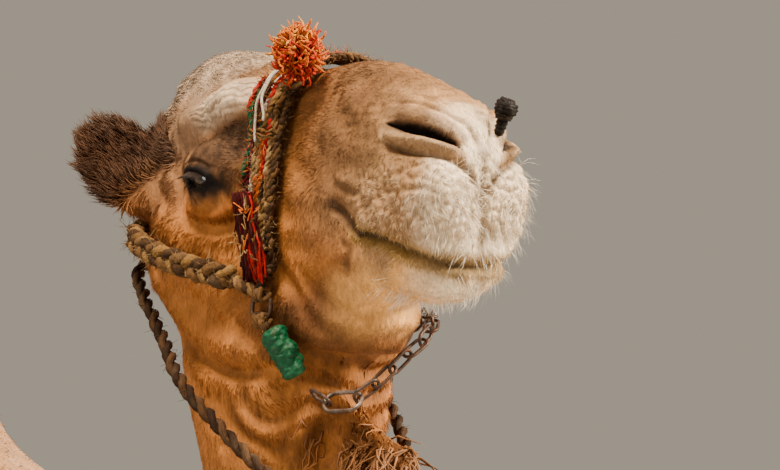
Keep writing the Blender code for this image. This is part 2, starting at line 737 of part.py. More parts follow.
def laid(tree, points, half_wide, half_thick, closed=False, sides=6, square=2, middle=None):
    """Moves a path out until no corner or edge of its section touches. Returns it and its ups,
    which are the hide's own, or point away from a middle."""
    count = len(points)
    ups = [(place - middle).normalized() if middle else clearance(tree, place)[1]
           for place in points]
    for _ in range(3):
        ups = [(ups[k - 1 if closed or k else 0] + ups[k]
                + ups[(k + 1) % count if closed else min(k + 1, count - 1)]).normalized()
               for k in range(count)]
    points = list(points)
    for _ in range(12):
        short = [0.0] * count
        rings = sections(points, ups, half_wide, half_thick, closed, sides, square)
        for k, ring in enumerate(rings):
            after = rings[(k + 1) % count] if closed or k < count - 1 else ring
            corners = list(zip(ring, after))
            middles = [((a + c) / 2, (b + d) / 2)
                       for (a, b), (c, d) in zip(corners, corners[1:] + corners[:1])]
            for a, b in corners + middles:
                gaps = [clearance(tree, a.lerp(b, step / 6))[0] for step in range(6)]
                lack = LAY_GAP - min(gaps)
                short[k] = max(short[k], lack)
                short[(k + 1) % count if closed else min(k + 1, count - 1)] = max(
                    short[(k + 1) % count if closed else min(k + 1, count - 1)], lack)
        if max(short) <= 0:
            break
        points = [place + up * max(0, lack) * 1.05
                  for place, up, lack in zip(points, ups, short)]
    return points, ups


def link(name, centre, along, flat, long, wide, wire, home, finish="iron", steps=10, sides=4):
    """A stadium of round wire. Flat is the way its plane faces."""
    along = Vector(along).normalized()
    flat = (flat - along * flat.dot(along)).normalized()
    across = along.cross(flat)
    radius = wide / 2 - wire
    straight = long / 2 - wire - radius
    points = []
    for i in range(steps):
        turn = math.tau * (i + 0.5) / steps
        shift = straight * (1 if math.cos(turn) > 0 else -1)
        points.append(centre + along * (radius * math.cos(turn) + shift)
                      + across * radius * math.sin(turn))
    return sweep(name, points, [flat] * steps, wire, wire, home, finish, True, sides)


# ---------------------------------------------------------------- the halter
ROPE = 0.0055             # half thickness of the twisted ropes
BRAID = 0.0110            # of the braided cheek rope
WIRE = 0.0021             # of the chain
LINK_LONG, LINK_WIDE = 0.0270, 0.0156
RING_LONG, RING_WIDE, RING_WIRE = 0.0370, 0.0250, 0.0025


def make_halter(flesh, home):
    """Noseband, cheek rope, headpiece and neck rope, then the chain that hangs under the chin."""
    tree = tree_of(flesh)
    # noseband: a woollen band, and a twisted rope ahead of it
    for name, shift, wide, thick, foot, finish in (
        ("noseband", 0.000, 0.0130, 0.0060, 0.094, "red_wool"),
        ("noseband_rope", 0.0205, ROPE, ROPE, 0.112, "dark_rope"),
    ):
        plane = (at_head(0.0615 + shift, 0, -0.020), Vector((0.10, 0, 1)).normalized())
        path = [hit for hit in girdle(tree, *plane, range(-150, 151, 5))
                if hit.z > HEAD.z - foot]
        path = even(pulled_taut(tree, even(path, 30), thick + LAY_GAP, plane), 21)
        path, ups = laid(tree, path, wide, thick, square=2.6)
        sweep(name, path, ups, wide, thick, home, finish, square=2.6)
    worn = flesh + [home.objects["noseband"], home.objects["noseband_rope"]]

    # cheek rope: from the foot of the noseband round the nape to the other side
    plane = (at_head(-0.050, 0, -0.086), Vector((0.218, 0, -0.059)).normalized())
    path = [hit for hit in girdle(tree, *plane, range(30, 331, 5)) if hit.x < HEAD.x + 0.032]
    tree = tree_of(worn)
    path = even(pulled_taut(tree, even(path, 34), BRAID + LAY_GAP, plane), 23)
    path, ups = laid(tree, path, BRAID, BRAID, middle=plane[0])
    sweep("cheek_rope", path, ups, BRAID, BRAID, home, "rope")
    worn.append(home.objects["cheek_rope"])

    # headpiece: a thin cord up behind the ears and over the poll
    plane = (at_head(-0.150, 0, 0.0), Vector((0, 0, 1)))
    path = [hit for hit in girdle(tree, *plane, range(-130, 131, 5)) if hit.z > HEAD.z - 0.040]
    tree = tree_of(worn)
    path = even(pulled_taut(tree, even(path, 22), 0.0030 + LAY_GAP, plane), 20)
    path, ups = laid(tree, path, 0.0030, 0.0030, sides=5, middle=plane[0])
    sweep("headpiece", path, ups, 0.0030, 0.0030, home, "dark_rope", sides=5)
    worn.append(home.objects["headpiece"])

    # neck rope: a slanting loop from the nape to the throat
    plane = (at_head(-0.010, 0, -0.1990), Vector((0.788, 0, -0.615)))
    path = girdle(tree_of(flesh), *plane, range(0, 360, 8))
    tree = tree_of(worn)
    path = even(pulled_taut(tree, even(path, 44, True), ROPE + 0.001 + LAY_GAP, plane, True), 32, True)
    path, ups = laid(tree, path, ROPE + 0.001, ROPE + 0.001, True, sides=5, middle=plane[0])
    sweep("neck_rope", path, ups, ROPE + 0.001, ROPE + 0.001, home, "dark_rope", True, 5)
    worn.append(home.objects["neck_rope"])

    # woollen tassels over the foot of the noseband, and the tuft of wool above it
    for side, hand in ((-1, "right"), (1, "left")):
        tree = tree_of(worn)
        rays = [(at_head(0.0610 - 0.0006 * k, side * 0.2, -0.042 - 0.0098 * k), Vector((0, -side, 0)))
                for k in range(8)]
        path = [tree.ray_cast(*ray)[0] + Vector((0, side * 0.0065, 0)) for ray in rays]
        path, ups = laid(tree, path, 0.0150, 0.0055, square=2.6)
        taper = [0.6, 0.9, 1, 1, 1, 1, 0.95, 0.7]
        sweep(f"tassel_{hand}", path, ups, [0.0150 * t for t in taper],
              [0.0055 * t for t in taper], home, "red_wool", square=2.6)
        worn.append(home.objects[f"tassel_{hand}"])
    tree = tree_of(worn)
    centre = clear_along(tree, at_head(0.3, -0.1740, 0.0280), (-0.8494, 0.516, 0.1672), 0.0205)
    ball("pompom", centre, (0.0205, 0.0205, 0.0225), home, "orange_wool", segments=(12, 8))

    # iron: a link at each foot of the noseband, the chain under the chin, its ring
    tree = tree_of(worn)
    ends = {}
    for side, hand in ((-1, "right"), (1, "left")):
        place = clear_along(tree, at_head(0.066, side * 0.200, -0.1320), (0, -side, 0), 0.0026)
        out = clearance(tree, place)[1]
        place = clear_of_all(tree, place, out, 0.0135)
        link(f"link_{hand}", place, (0, 0, 1), out, 0.0270, 0.0230, 0.0024, home)
        worn.append(home.objects[f"link_{hand}"])
        ends[hand] = place
    tree = tree_of(worn)
    wrap = [at_head(0.0800, -0.066, -0.1500), at_head(0.0865, -0.059, -0.1680),
            at_head(0.0935, -0.050, -0.1860)]
    wrap = even(wrap, 6)
    wrap, ups = laid(tree, wrap, 0.0088, 0.0088)
    sweep("wrap_right", wrap, ups, [0.006, 0.0085, 0.0088, 0.0088, 0.0082, 0.0055],
          [0.006, 0.0085, 0.0088, 0.0088, 0.0082, 0.0055], home, "green_tape")
    worn.append(home.objects["wrap_right"])

    tree = tree_of(worn)
    reach = LINK_WIDE / 2 + 0.0012
    start = wrap[-1] + (wrap[-1] - wrap[-2]).normalized() * 0.0150
    ring = at_head(0.134, -0.036, -0.212)
    rise = [at_head(0.146, -0.012, -0.192), at_head(0.154, 0.010, -0.172),
            at_head(0.152, 0.034, -0.156), at_head(0.128, 0.056, -0.142),
            at_head(0.098, 0.072, -0.137), ends["left"] + Vector((0, 0, -0.012))]
    curve = even([start, start.lerp(ring, 0.5), ring, *rise], 60)
    curve = pulled_taut(tree, curve, reach, rounds=8)
    hang_chain(tree, curve, ring, home)

    # the peg through the left nostril: a knob on a short stem
    tree = tree_of(worn)
    centre = clear_along(tree, at_head(0.45, -0.1230, -0.0255), (-0.7828, 0.6174, 0.1302), 0.0105)
    inward = -clearance(tree, centre)[1]
    reach = clearance(tree, centre)[0] - 2 * LAY_GAP
    path = [centre + inward * t for t in (-0.0085, -0.0040, 0.0020, 0.0060, 0.0062 + reach * 0.3)]
    path[-1] = centre + inward * reach
    sweep("nose_peg", path, [Vector((0, 0, 1))] * 5, [0.0055, 0.0098, 0.0092, 0.0040, 0.0036],
          [0.0055, 0.0098, 0.0092, 0.0040, 0.0036], home, "black", sides=8)


def clear_along(tree, start, direction, radius):
    """The last place along a line where a ball still touches nothing."""
    direction = Vector(direction).normalized()
    place = Vector(start)
    for _ in range(200):
        distance, _ = clearance(tree, place)
        if distance < radius + LAY_GAP + 0.0002:
            break
        place = place + direction * max(0.0002, (distance - radius - LAY_GAP) * 0.5)
    return place - direction * 0.0002


def clear_of_all(tree, place, out, radius):
    """Moves a flat link out until its whole rim is clear."""
    across = out.cross(Vector((0, 0, 1))).normalized()
    up = across.cross(out)
    for _ in range(80):
        rim = [place + across * radius * math.cos(t) + up * radius * math.sin(t)
               for t in (math.tau * k / 16 for k in range(16))]
        if min(clearance(tree, spot)[0] for spot in rim) > 0.0024 + LAY_GAP:
            break
        place = place + out * 0.0004
    return place


def hang_chain(tree, curve, ring, home):
    """The ring, and links along a curve both ways from it, each turned a quarter from the last
    and hooked through its end."""
    middle = min(range(len(curve)), key=lambda k: (curve[k] - ring).length)
    along = (curve[middle + 4] - curve[middle - 4]).normalized()
    out = clearance(tree, curve[middle])[1]
    out = (out - along * out.dot(along)).normalized()
    link("ring_right", curve[middle], along, out, RING_LONG, RING_WIDE, RING_WIRE, home)
    for letter, way, route in (("a", -1, curve[middle::-1]), ("b", 1, curve[middle:])):
        centre, heading = curve[middle], along * way
        long, wire, facing, n = RING_LONG, RING_WIRE, out, 1
        while True:
            # the middle of the next link's end wire, hooked just inside this link's end
            hook = centre + heading * (long / 2 - 2 * wire - WIRE - 0.0012)
            span = LINK_LONG / 2 - WIRE
            ahead = [k for k, place in enumerate(route) if (place - hook).length > 1.6 * span]
            ahead = [k for k in ahead if (route[k] - hook).dot(heading) > 0] or [0]
            if not ahead[0]:
                break
            heading = (route[ahead[0]] - hook).normalized()
            centre = hook + heading * span
            facing = heading.cross(facing).normalized()
            link(f"chain_{letter}{n:02d}", centre, heading, facing, LINK_LONG, LINK_WIDE, WIRE, home)
            long, wire, n = LINK_LONG, WIRE, n + 1


def main():
    clear_scene()
    camel = collection("dromedary_camel")
    cutters = collection("cutters", hidden=True)
    animal = as_cutter(whole_animal(cutters))
    part_the_flesh(animal, camel, cutters)
    head = camel.objects["head"]
    ears = [make_ear(side, hand, head, camel, cutters) for side, hand in ((-1, "right"), (1, "left"))]
    flesh = [head, camel.objects["neck"], *ears]
    make_halter(flesh, camel)
    shape_the_face(head, camel, cutters)
    make_nails(camel, cutters)
    for made in bpy.data.objects:
        made.data.transform(Matrix.Translation((-MIDDLE, 0, 0)))
    for made in cutters.objects:
        as_cutter(made)
    for made in camel.objects:
        if made.name in PAINT:
            made.data.materials.clear()
            made.data.materials.append(material(PAINT[made.name]))


PAINT = {"tail_tuft": "dark_coat", "chest_pad": "pad"}

if __name__ == "__main__":
    main()
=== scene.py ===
"""The looks of the dromedary: one skin over its flesh, the coat in tufts, eyes, nails and the halter.

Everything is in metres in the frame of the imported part: +X is ahead of the animal, +Y its left side, +Z up.
P is an array of places there, X, Y and Z its columns, and N the normals at them. Head places, h with the
columns x, y and z, are measured from HEAD, the middle of the head between the eyes, and hold for both sides.
Along a line, T, O and B are unit vectors ahead, outwards and across.
"""

import json
import math

import bmesh
import bpy
import numpy as np
from mathutils import Matrix, Vector, noise
from mathutils.bvhtree import BVHTree

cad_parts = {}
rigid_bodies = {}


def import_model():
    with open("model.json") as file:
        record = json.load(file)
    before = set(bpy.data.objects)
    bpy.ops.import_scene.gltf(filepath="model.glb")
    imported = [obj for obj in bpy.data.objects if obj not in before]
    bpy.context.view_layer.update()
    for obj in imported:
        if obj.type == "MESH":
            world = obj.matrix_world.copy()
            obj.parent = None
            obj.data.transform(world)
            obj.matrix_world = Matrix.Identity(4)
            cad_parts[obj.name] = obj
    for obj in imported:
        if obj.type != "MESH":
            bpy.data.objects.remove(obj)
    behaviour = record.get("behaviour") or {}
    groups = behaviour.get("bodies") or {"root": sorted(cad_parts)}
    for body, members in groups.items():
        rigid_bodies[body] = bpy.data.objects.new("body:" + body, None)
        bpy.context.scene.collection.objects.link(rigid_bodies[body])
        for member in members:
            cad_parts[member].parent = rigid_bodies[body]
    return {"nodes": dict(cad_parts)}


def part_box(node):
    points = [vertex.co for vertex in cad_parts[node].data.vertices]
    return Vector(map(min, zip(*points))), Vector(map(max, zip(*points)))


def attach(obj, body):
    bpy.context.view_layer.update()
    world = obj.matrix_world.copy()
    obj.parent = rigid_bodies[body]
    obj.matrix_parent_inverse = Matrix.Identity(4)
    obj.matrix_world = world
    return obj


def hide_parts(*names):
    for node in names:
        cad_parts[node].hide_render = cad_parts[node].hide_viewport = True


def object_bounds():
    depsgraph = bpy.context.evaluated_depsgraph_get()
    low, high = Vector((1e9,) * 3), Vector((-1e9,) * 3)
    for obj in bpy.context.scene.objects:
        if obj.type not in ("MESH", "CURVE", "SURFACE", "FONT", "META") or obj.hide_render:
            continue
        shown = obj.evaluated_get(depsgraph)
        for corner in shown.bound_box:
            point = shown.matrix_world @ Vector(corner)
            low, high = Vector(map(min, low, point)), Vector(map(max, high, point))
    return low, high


for left_over in list(bpy.data.objects):
    bpy.data.objects.remove(left_over)
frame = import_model()
CAD_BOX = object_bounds()
NODES = frame["nodes"]
RNG = np.random.default_rng(20)

# ---------------------------------------------------------------- sizes

TURN = 2 * math.pi
SIDES = {"left": 1, "right": -1}
LIMBS = [f"{pair}_{part}_{side}" for pair in ("fore", "hind") for part in ("upper", "lower", "foot")
         for side in SIDES]
FLESH = ["head", "neck", "trunk", "hump", "tail", "tail_tuft", "chest_pad", "ear_left", "ear_right",
         *LIMBS]


def node_box(name):
    """A node's lowest and highest corner, the middle between them and half the way from one to the other."""
    low, high = (np.array(corner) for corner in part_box(name))
    return low, high, (low + high) / 2, (high - low) / 2


EYE_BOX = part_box("eye_left")
EYE_NODE = np.array((EYE_BOX[0] + EYE_BOX[1]) / 2)
EYE_RADIUS = (EYE_BOX[1].x - EYE_BOX[0].x) / 2
HEAD = np.array([EYE_NODE[0] - 0.002, 0.0, EYE_NODE[2] + 0.022])
EYE = EYE_NODE + np.array([-0.008, 0.001, 0.0])   # where the lids and the eyeball are shown

VOXEL = 0.0124            # of the remeshed skin, half of that on the head
HEAD_REACH = 0.35         # the head, measured from HEAD, is remeshed twice as finely
SWELL = 0.0010            # closes the thin cuts between the flesh nodes
BOX_GAP = 0.0006          # the coat's tips keep this far inside the solids' box
SOLES = (0.004, 0.012)    # no tuft is rooted below the first height
LEG_TOP = (1.02, 1.06)    # heights between which the coat of the legs gives way to the trunk's
SHOULDER = (0.40, 0.44)   # X between which the trunk's coat gives way to the neck's
MID_NECK = (1.66, 1.72)   # heights between which the lower neck's coat gives way to the upper neck's
WRINKLE_PITCH = 0.0052    # of the fine folds over the brow
THROAT_PITCH = 0.030      # of the slack folds under the jaw
RIB_PITCH, RIB_SLANT = 0.066, 0.25
NOSTRIL_DEPTH = 0.013
NECK_LINE = np.array([(0.80, 2.02), (0.88, 1.80), (0.89, 1.60), (0.79, 1.42), (0.60, 1.38), (0.38, 1.50)])

# ---------------------------------------------------------------- arrays


def smooth(x, low, high):
    """0 below low, 1 above high, eased between."""
    t = np.clip((x - low) / (high - low), 0.0, 1.0)
    return t * t * (3 - 2 * t)


def fall(x, low, high):
    """1 below low, 0 above high, eased between."""
    return 1 - smooth(x, low, high)


def bell(x, width):
    return np.exp(-((x / width) ** 2))


def blend(a, b, share):
    return a * (1 - share) + b * share


def unit(v):
    return v / np.maximum(np.linalg.norm(v, axis=-1, keepdims=True), 1e-9)


def waves(P, size, seed, stretch=(1.0, 1.0, 1.0)):
    """A smooth random field between about -1 and 1, with bumps about size metres across."""
    rng = np.random.default_rng(seed)
    P = P * np.array(stretch)
    total = np.zeros(len(P))
    count = 14
    for k in range(count):
        direction = unit(rng.normal(size=3))
        pitch = size * rng.uniform(0.75, 1.5)
        total += np.sin(P @ direction * (TURN / pitch) + rng.uniform(0, TURN))
    return total / math.sqrt(count)


def read(collection, name, width, dtype=np.float32):
    out = np.empty(len(collection) * width, dtype)
    collection.foreach_get(name, out)
    return out.reshape(-1, width) if width > 1 else out


def places(mesh):
    return read(mesh.vertices, "co", 3).astype(float)


def normals(mesh):
    return read(mesh.vertex_normals, "vector", 3).astype(float)


def calm_places(mesh):
    """Where the skin was before its folds were sculpted: markings and lie of the coat go by these."""
    return read(mesh.attributes["calm"].data, "vector", 3).astype(float)


def flat_row(values):
    return values.astype(np.float32).ravel()


def put(mesh, P):
    mesh.vertices.foreach_set("co", flat_row(P))
    mesh.update()


def surface_tree(P, mesh):
    """For finding the nearest place of a mesh whose corners are at P."""
    return BVHTree.FromPolygons([tuple(v) for v in P], [tuple(p.vertices) for p in mesh.polygons])


def relaxed(mesh, steps, weight, pull=0.55, push=0.57):
    """The mesh's places with small lumps smoothed away, without shrinking what is large."""
    P, E = places(mesh), read(mesh.edges, "vertices", 2, np.int32)
    count = len(P)
    degree = np.bincount(E.ravel(), minlength=count)[:, None]
    weight = np.broadcast_to(weight, (count,))[:, None]
    for _ in range(steps):
        for amount in (pull, -push):
            near = np.stack([np.bincount(E[:, 0], P[E[:, 1], k], count)
                             + np.bincount(E[:, 1], P[E[:, 0], k], count) for k in range(3)], 1)
            P += amount * weight * (near / degree - P)
    return P


def lengths_along(line):
    """How far along a line each of its points is."""
    return np.concatenate([[0], np.cumsum(np.linalg.norm(np.diff(line, axis=0), axis=1))])


def from_path(P, path):
    """For each place, its distance from a path, and how far along it, from 0 to 1, the nearest point is."""
    path = np.array(path, float)
    best = np.full(len(P), 1e9)
    along = np.zeros(len(P))
    spans = np.linalg.norm(np.diff(path, axis=0), axis=1)
    start = np.concatenate([[0], np.cumsum(spans)]) / spans.sum()
    for a, b, s0, s1 in zip(path[:-1], path[1:], start[:-1], start[1:]):
        t = np.clip((P - a) @ (b - a) / ((b - a) @ (b - a)), 0, 1)
        d = np.linalg.norm(P - a - t[:, None] * (b - a), axis=1)
        nearer = d < best
        best = np.where(nearer, d, best)
        along = np.where(nearer, s0 + t * (s1 - s0), along)
    return best, along


def distance(P, path):
    return from_path(P, path)[0]


def shifted(path, *offset):
    return np.array(path) + np.array(offset)


def even_line(points, count, ease=2):
    """The same line with evenly spaced points, and its corners eased."""
    points = np.array(points, float)
    for _ in range(2):
        s = lengths_along(points)
        at = np.linspace(0, s[-1], count)
        points = np.stack([np.interp(at, s, points[:, k]) for k in range(3)], 1)
        for _ in range(ease):
            points[1:-1] = points[1:-1] * 0.5 + (points[2:] + points[:-2]) * 0.25
    return points


# ---------------------------------------------------------------- objects


def in_scene(made):
    bpy.context.scene.collection.objects.link(made)
    return made


def add_piece(name, mesh, material, nodes=(), turn=None):
    """Shows a mesh as a piece of the part, in place of the nodes named."""
    mesh.materials.append(material)
    piece = in_scene(bpy.data.objects.new(name, mesh))
    if turn is not None:
        piece.matrix_world = turn
    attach(piece, "root")
    if nodes:
        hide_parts(*nodes)
    return piece


def shade_smooth(mesh):
    mesh.polygons.foreach_set("use_smooth", np.ones(len(mesh.polygons), bool))


def built_mesh(name, P, faces_by_size):
    """A mesh from places and arrays of faces, one array for each number of corners."""
    mesh = bpy.data.meshes.new(name)
    corners = np.concatenate([f.ravel() for f in faces_by_size])
    sizes = np.concatenate([np.full(len(f), f.shape[1]) for f in faces_by_size])
    starts = np.concatenate([[0], np.cumsum(sizes)[:-1]])
    mesh.vertices.add(len(P))
    mesh.vertices.foreach_set("co", flat_row(P))
    mesh.loops.add(len(corners))
    mesh.loops.foreach_set("vertex_index", corners.astype(np.int32))
    mesh.polygons.add(len(sizes))
    mesh.polygons.foreach_set("loop_start", starts.astype(np.int32))
    mesh.update(calc_edges=True)
    shade_smooth(mesh)
    return mesh


def finished_mesh(name, edit):
    """A smoothly shaded mesh from a bmesh, which is freed."""
    mesh = bpy.data.meshes.new(name)
    edit.to_mesh(mesh)
    edit.free()
    shade_smooth(mesh)
    return mesh


def tube_faces(rings, sides):
    """The faces of a tube: quads between its rings, and fans to the two tips that follow the rings."""
    start = np.arange(rings - 1)[:, None] * sides
    j = np.arange(sides)[None]
    k = (j + 1) % sides
    quads = np.stack([start + j, start + k, start + sides + k, start + sides + j], -1).reshape(-1, 4)
    tip, last = rings * sides, (rings - 1) * sides
    caps = [(tip, (q + 1) % sides, q) for q in range(sides)]
    caps += [(tip + 1, last + q, last + (q + 1) % sides) for q in range(sides)]
    return quads, np.array(caps)


def add_numbers(mesh, name, values):
    mesh.attributes.new(name, "FLOAT", "POINT").data.foreach_set("value", flat_row(values))


def add_vectors(mesh, name, values):
    mesh.attributes.new(name, "FLOAT_VECTOR", "POINT").data.foreach_set("vector", flat_row(values))


def add_colours(mesh, name, colours):
    wide = np.concatenate([colours, np.ones((len(colours), 1))], 1)
    mesh.color_attributes.new(name, "FLOAT_COLOR", "POINT").data.foreach_set("color", flat_row(wide))


# ---------------------------------------------------------------- parts of the animal


def head_places(P):
    """Places from the middle of the head, with both sides folded onto the left one."""
    h = P - HEAD
    h[:, 1] = np.abs(h[:, 1])
    return h


def head_share(P, soft=0.03):
    """1 on the head, 0 on the neck, across the plane from the poll to the angle of the jaw."""
    d = (P - HEAD - np.array([-0.165, 0, -0.085])) @ np.array([0.30, 0, 0.954])
    return smooth(d, -soft, soft) * smooth(P[:, 0], 0.62, 0.66)


def zone(P, middle, radii, soft=0.35):
    """1 inside an ellipsoid, easing to 0 outside it."""
    d = np.linalg.norm((P - np.array(middle)) / np.array(radii), axis=1)
    return fall(d, 1 - soft, 1 + soft)


def throat_share(h):
    """1 over the slack skin under the jaw and down the upper throat."""
    return zone(h, (0.085, 0.02, -0.190), (0.085, 0.080, 0.085), 0.45)


def throat_folds(P, h):
    """Folds that sweep from the jaw forward and down the throat."""
    bend = 0.014 * waves(P, 0.075, 7)
    return np.sin(TURN * (h[:, 2] * 0.75 + h[:, 0] * 0.65 + bend) / THROAT_PITCH)


BEARD_LINE = [(0.108, -0.212), (0.136, -0.248), (0.142, -0.320), (0.134, -0.430), (0.118, -0.530),
              (0.086, -0.625), (0.032, -0.712), (-0.045, -0.785)]


def in_beard(P):
    """1 along the front edge of the neck, where the long hair grows."""
    h = head_places(P)
    return fall(distance(h[:, [0, 2]], BEARD_LINE), 0.030, 0.055) * fall(h[:, 1], 0.030, 0.050)


EAR_ROOT = np.array([-0.128, 0.070, -0.024])
EAR_ALONG = unit(np.array([-0.22, 0.66, 0.72]))


def ears_share(P):
    """1 on the ears, beyond where they leave the head."""
    away = head_places(P) - EAR_ROOT
    t = away @ EAR_ALONG
    off = np.linalg.norm(away - t[:, None] * EAR_ALONG, axis=1)
    return smooth(t, 0.002, 0.012) * (off < 0.050) * (t < 0.12)


# Lines of the head, from its middle. lay_lines brings these on to the skin.
LINES = {
    "mouth": [(0.171, 0.045, -0.079), (0.187, 0.045, -0.082), (0.210, 0.046, -0.087), (0.228, 0.044, -0.094),
              (0.241, 0.038, -0.099), (0.251, 0.030, -0.104), (0.258, 0.019, -0.108), (0.263, 0.000, -0.109)],
    "corner": [(0.147, 0.054, -0.055), (0.157, 0.052, -0.063), (0.163, 0.050, -0.071),
               (0.171, 0.046, -0.079)],
    "corner_fold": [(0.146, 0.051, -0.033), (0.160, 0.050, -0.039), (0.176, 0.050, -0.043)],
    "corner_groove": [(0.152, 0.051, -0.041), (0.166, 0.050, -0.047), (0.181, 0.049, -0.052)],
    "cheek_fold": [(0.157, 0.051, -0.083), (0.160, 0.047, -0.093), (0.148, 0.045, -0.110)],
    "nostril": [(0.213, 0.0455, -0.001), (0.226, 0.043, -0.004), (0.240, 0.0385, -0.008),
                (0.254, 0.032, -0.013), (0.266, 0.025, -0.019), (0.273, 0.019, -0.025)],
    "rim": [(0.214, 0.050, -0.008), (0.229, 0.047, -0.014), (0.245, 0.043, -0.018), (0.257, 0.037, -0.022),
            (0.267, 0.029, -0.026), (0.273, 0.022, -0.030)],
    "under_rim": [(0.212, 0.050, -0.014), (0.226, 0.050, -0.0205), (0.242, 0.047, -0.0240),
                  (0.256, 0.041, -0.0260), (0.266, 0.033, -0.0290), (0.272, 0.022, -0.034),
                  (0.275, 0.011, -0.042), (0.276, 0.005, -0.052)],
    "flap": [(0.216, 0.045, 0.008), (0.230, 0.042, 0.005), (0.246, 0.036, 0.001), (0.260, 0.028, -0.006),
             (0.271, 0.019, -0.016)],
    "above": [(0.212, 0.041, 0.016), (0.226, 0.037, 0.014), (0.237, 0.033, 0.012), (0.250, 0.024, 0.007),
              (0.260, 0.015, -0.001), (0.268, 0.008, -0.012), (0.273, 0.004, -0.026)],
    "above_again": [(0.216, 0.036, 0.023), (0.230, 0.031, 0.020), (0.243, 0.023, 0.015)],
    "cleft": [(0.270, 0.000, -0.022), (0.276, 0.000, -0.050), (0.276, 0.000, -0.080), (0.266, 0.000, -0.104)],
}
# Lines in the head's side view.
BROW = np.array([(-0.080, 0.024), (-0.045, 0.032), (-0.010, 0.036), (0.025, 0.040), (0.058, 0.047)])
TEAR_BAG = [(-0.038, -0.046), (-0.015, -0.053), (0.003, -0.056), (0.017, -0.054), (0.030, -0.046)]
JAW_LINE = [(-0.150, -0.070), (-0.110, -0.125), (-0.075, -0.155), (-0.044, -0.169), (-0.006, -0.179),
            (0.021, -0.184), (0.050, -0.184), (0.074, -0.176)]
LID_TILT = math.radians(8)
laid = {}


def lay_lines(mesh):
    """Brings LINES on to the skin, from outside the head inwards."""
    tree = surface_tree(places(mesh), mesh)
    muzzle_end = 0.215        # ahead of it the skin is sought from the front as well as from the side
    for name, path in LINES.items():
        found = []
        for x, y, z in even_line(path, 18, 1):
            out = Vector((x - muzzle_end, y, 0.0)) if x > muzzle_end else Vector((0, 1, 0))
            out.normalize()
            start = Vector(HEAD) + Vector((x, y, z)) + out * 0.05
            hit = tree.ray_cast(start, -out, 0.12)[0]
            if hit is not None:
                found.append(np.array(hit) - HEAD)
        laid[name] = found


def brow_folds(P, h):
    """How far each place is above the middle of the brow, and the ripple of its fine wrinkles."""
    above = h[:, 2] - np.interp(h[:, 0], BROW[:, 0], BROW[:, 1])
    bend = above + 0.0030 * waves(P, 0.045, 3) + 0.0014 * waves(P, 0.012, 33)
    return above, np.sin(TURN * bend / WRINKLE_PITCH)


def lip_cells(P):
    """The pebbled skin of the upper lip: about 1 on a bump, -1 between bumps, 0 elsewhere."""
    x, _, z = head_places(P).T
    lip = smooth(x, 0.150, 0.190) * smooth(-z, 0.026, 0.044) * fall(-z, 0.080, 0.098)
    out = np.zeros(len(P))
    for k in np.flatnonzero(lip > 0.01):
        p = Vector(P[k]) * 165
        out[k] = 1.1 - noise.voronoi(p, distance_metric="DISTANCE")[0][0] * 2.4 + 0.7 * noise.noise(p * 0.4)
    return lip * out


# ---------------------------------------------------------------- relief of the skin


def dent(P, path, width, depth, fade=0.12):
    """How far in a groove along a path presses, falling to nothing at its ends."""
    d, along = from_path(P, path)
    ends = smooth(along, 0, fade) * fall(along, 1 - fade, 1) if fade else 1.0
    return depth * ends * bell(d, width)


# Folds, above 0, and grooves, below 0, of the muzzle: line, its offset upwards, width, height, fade.
MUZZLE_FOLDS = [
    ("rim", 0, 0.0050, 0.0062, 0.12), ("flap", 0, 0.0050, 0.0030, 0.20),
    ("under_rim", 0, 0.0034, -0.0052, 0.10), ("above", 0, 0.0030, -0.0026, 0.10),
    ("above_again", 0, 0.0024, -0.0018, 0.25), ("mouth", 0, 0.0034, -0.0066, 0.0),
    ("mouth", 0.0105, 0.0075, 0.0036, 0.10), ("mouth", -0.0110, 0.0080, 0.0026, 0.10),
    ("corner", 0, 0.0046, -0.0050, 0.15), ("corner_fold", 0, 0.0040, 0.0022, 0.30),
    ("corner_groove", 0, 0.0034, -0.0018, 0.30), ("cheek_fold", 0, 0.0040, -0.0024, 0.25),
    ("cleft", 0, 0.0042, -0.0046, 0.30),
]


def muzzle_relief(P, h):
    """Nostrils with a thick lower rim under folds, the mouth and its corner, the cleft and pebbled lips."""
    x, _, z = h.T
    push = np.zeros(len(P))
    for line, up, width, height, fade in MUZZLE_FOLDS:
        push += dent(h, shifted(laid[line], 0, 0, up), width, height, fade)
    push += 0.0017 * lip_cells(P)
    nose = smooth(x, 0.10, 0.18) * smooth(z, -0.03, 0.01)
    push += nose * 0.0006 * waves(P, 0.013, 5, (1.0, 1.0, 1.6))
    chin = smooth(x, 0.16, 0.20) * smooth(-z, 0.105, 0.120)
    push += chin * 0.0009 * waves(P, 0.012, 6)
    return push


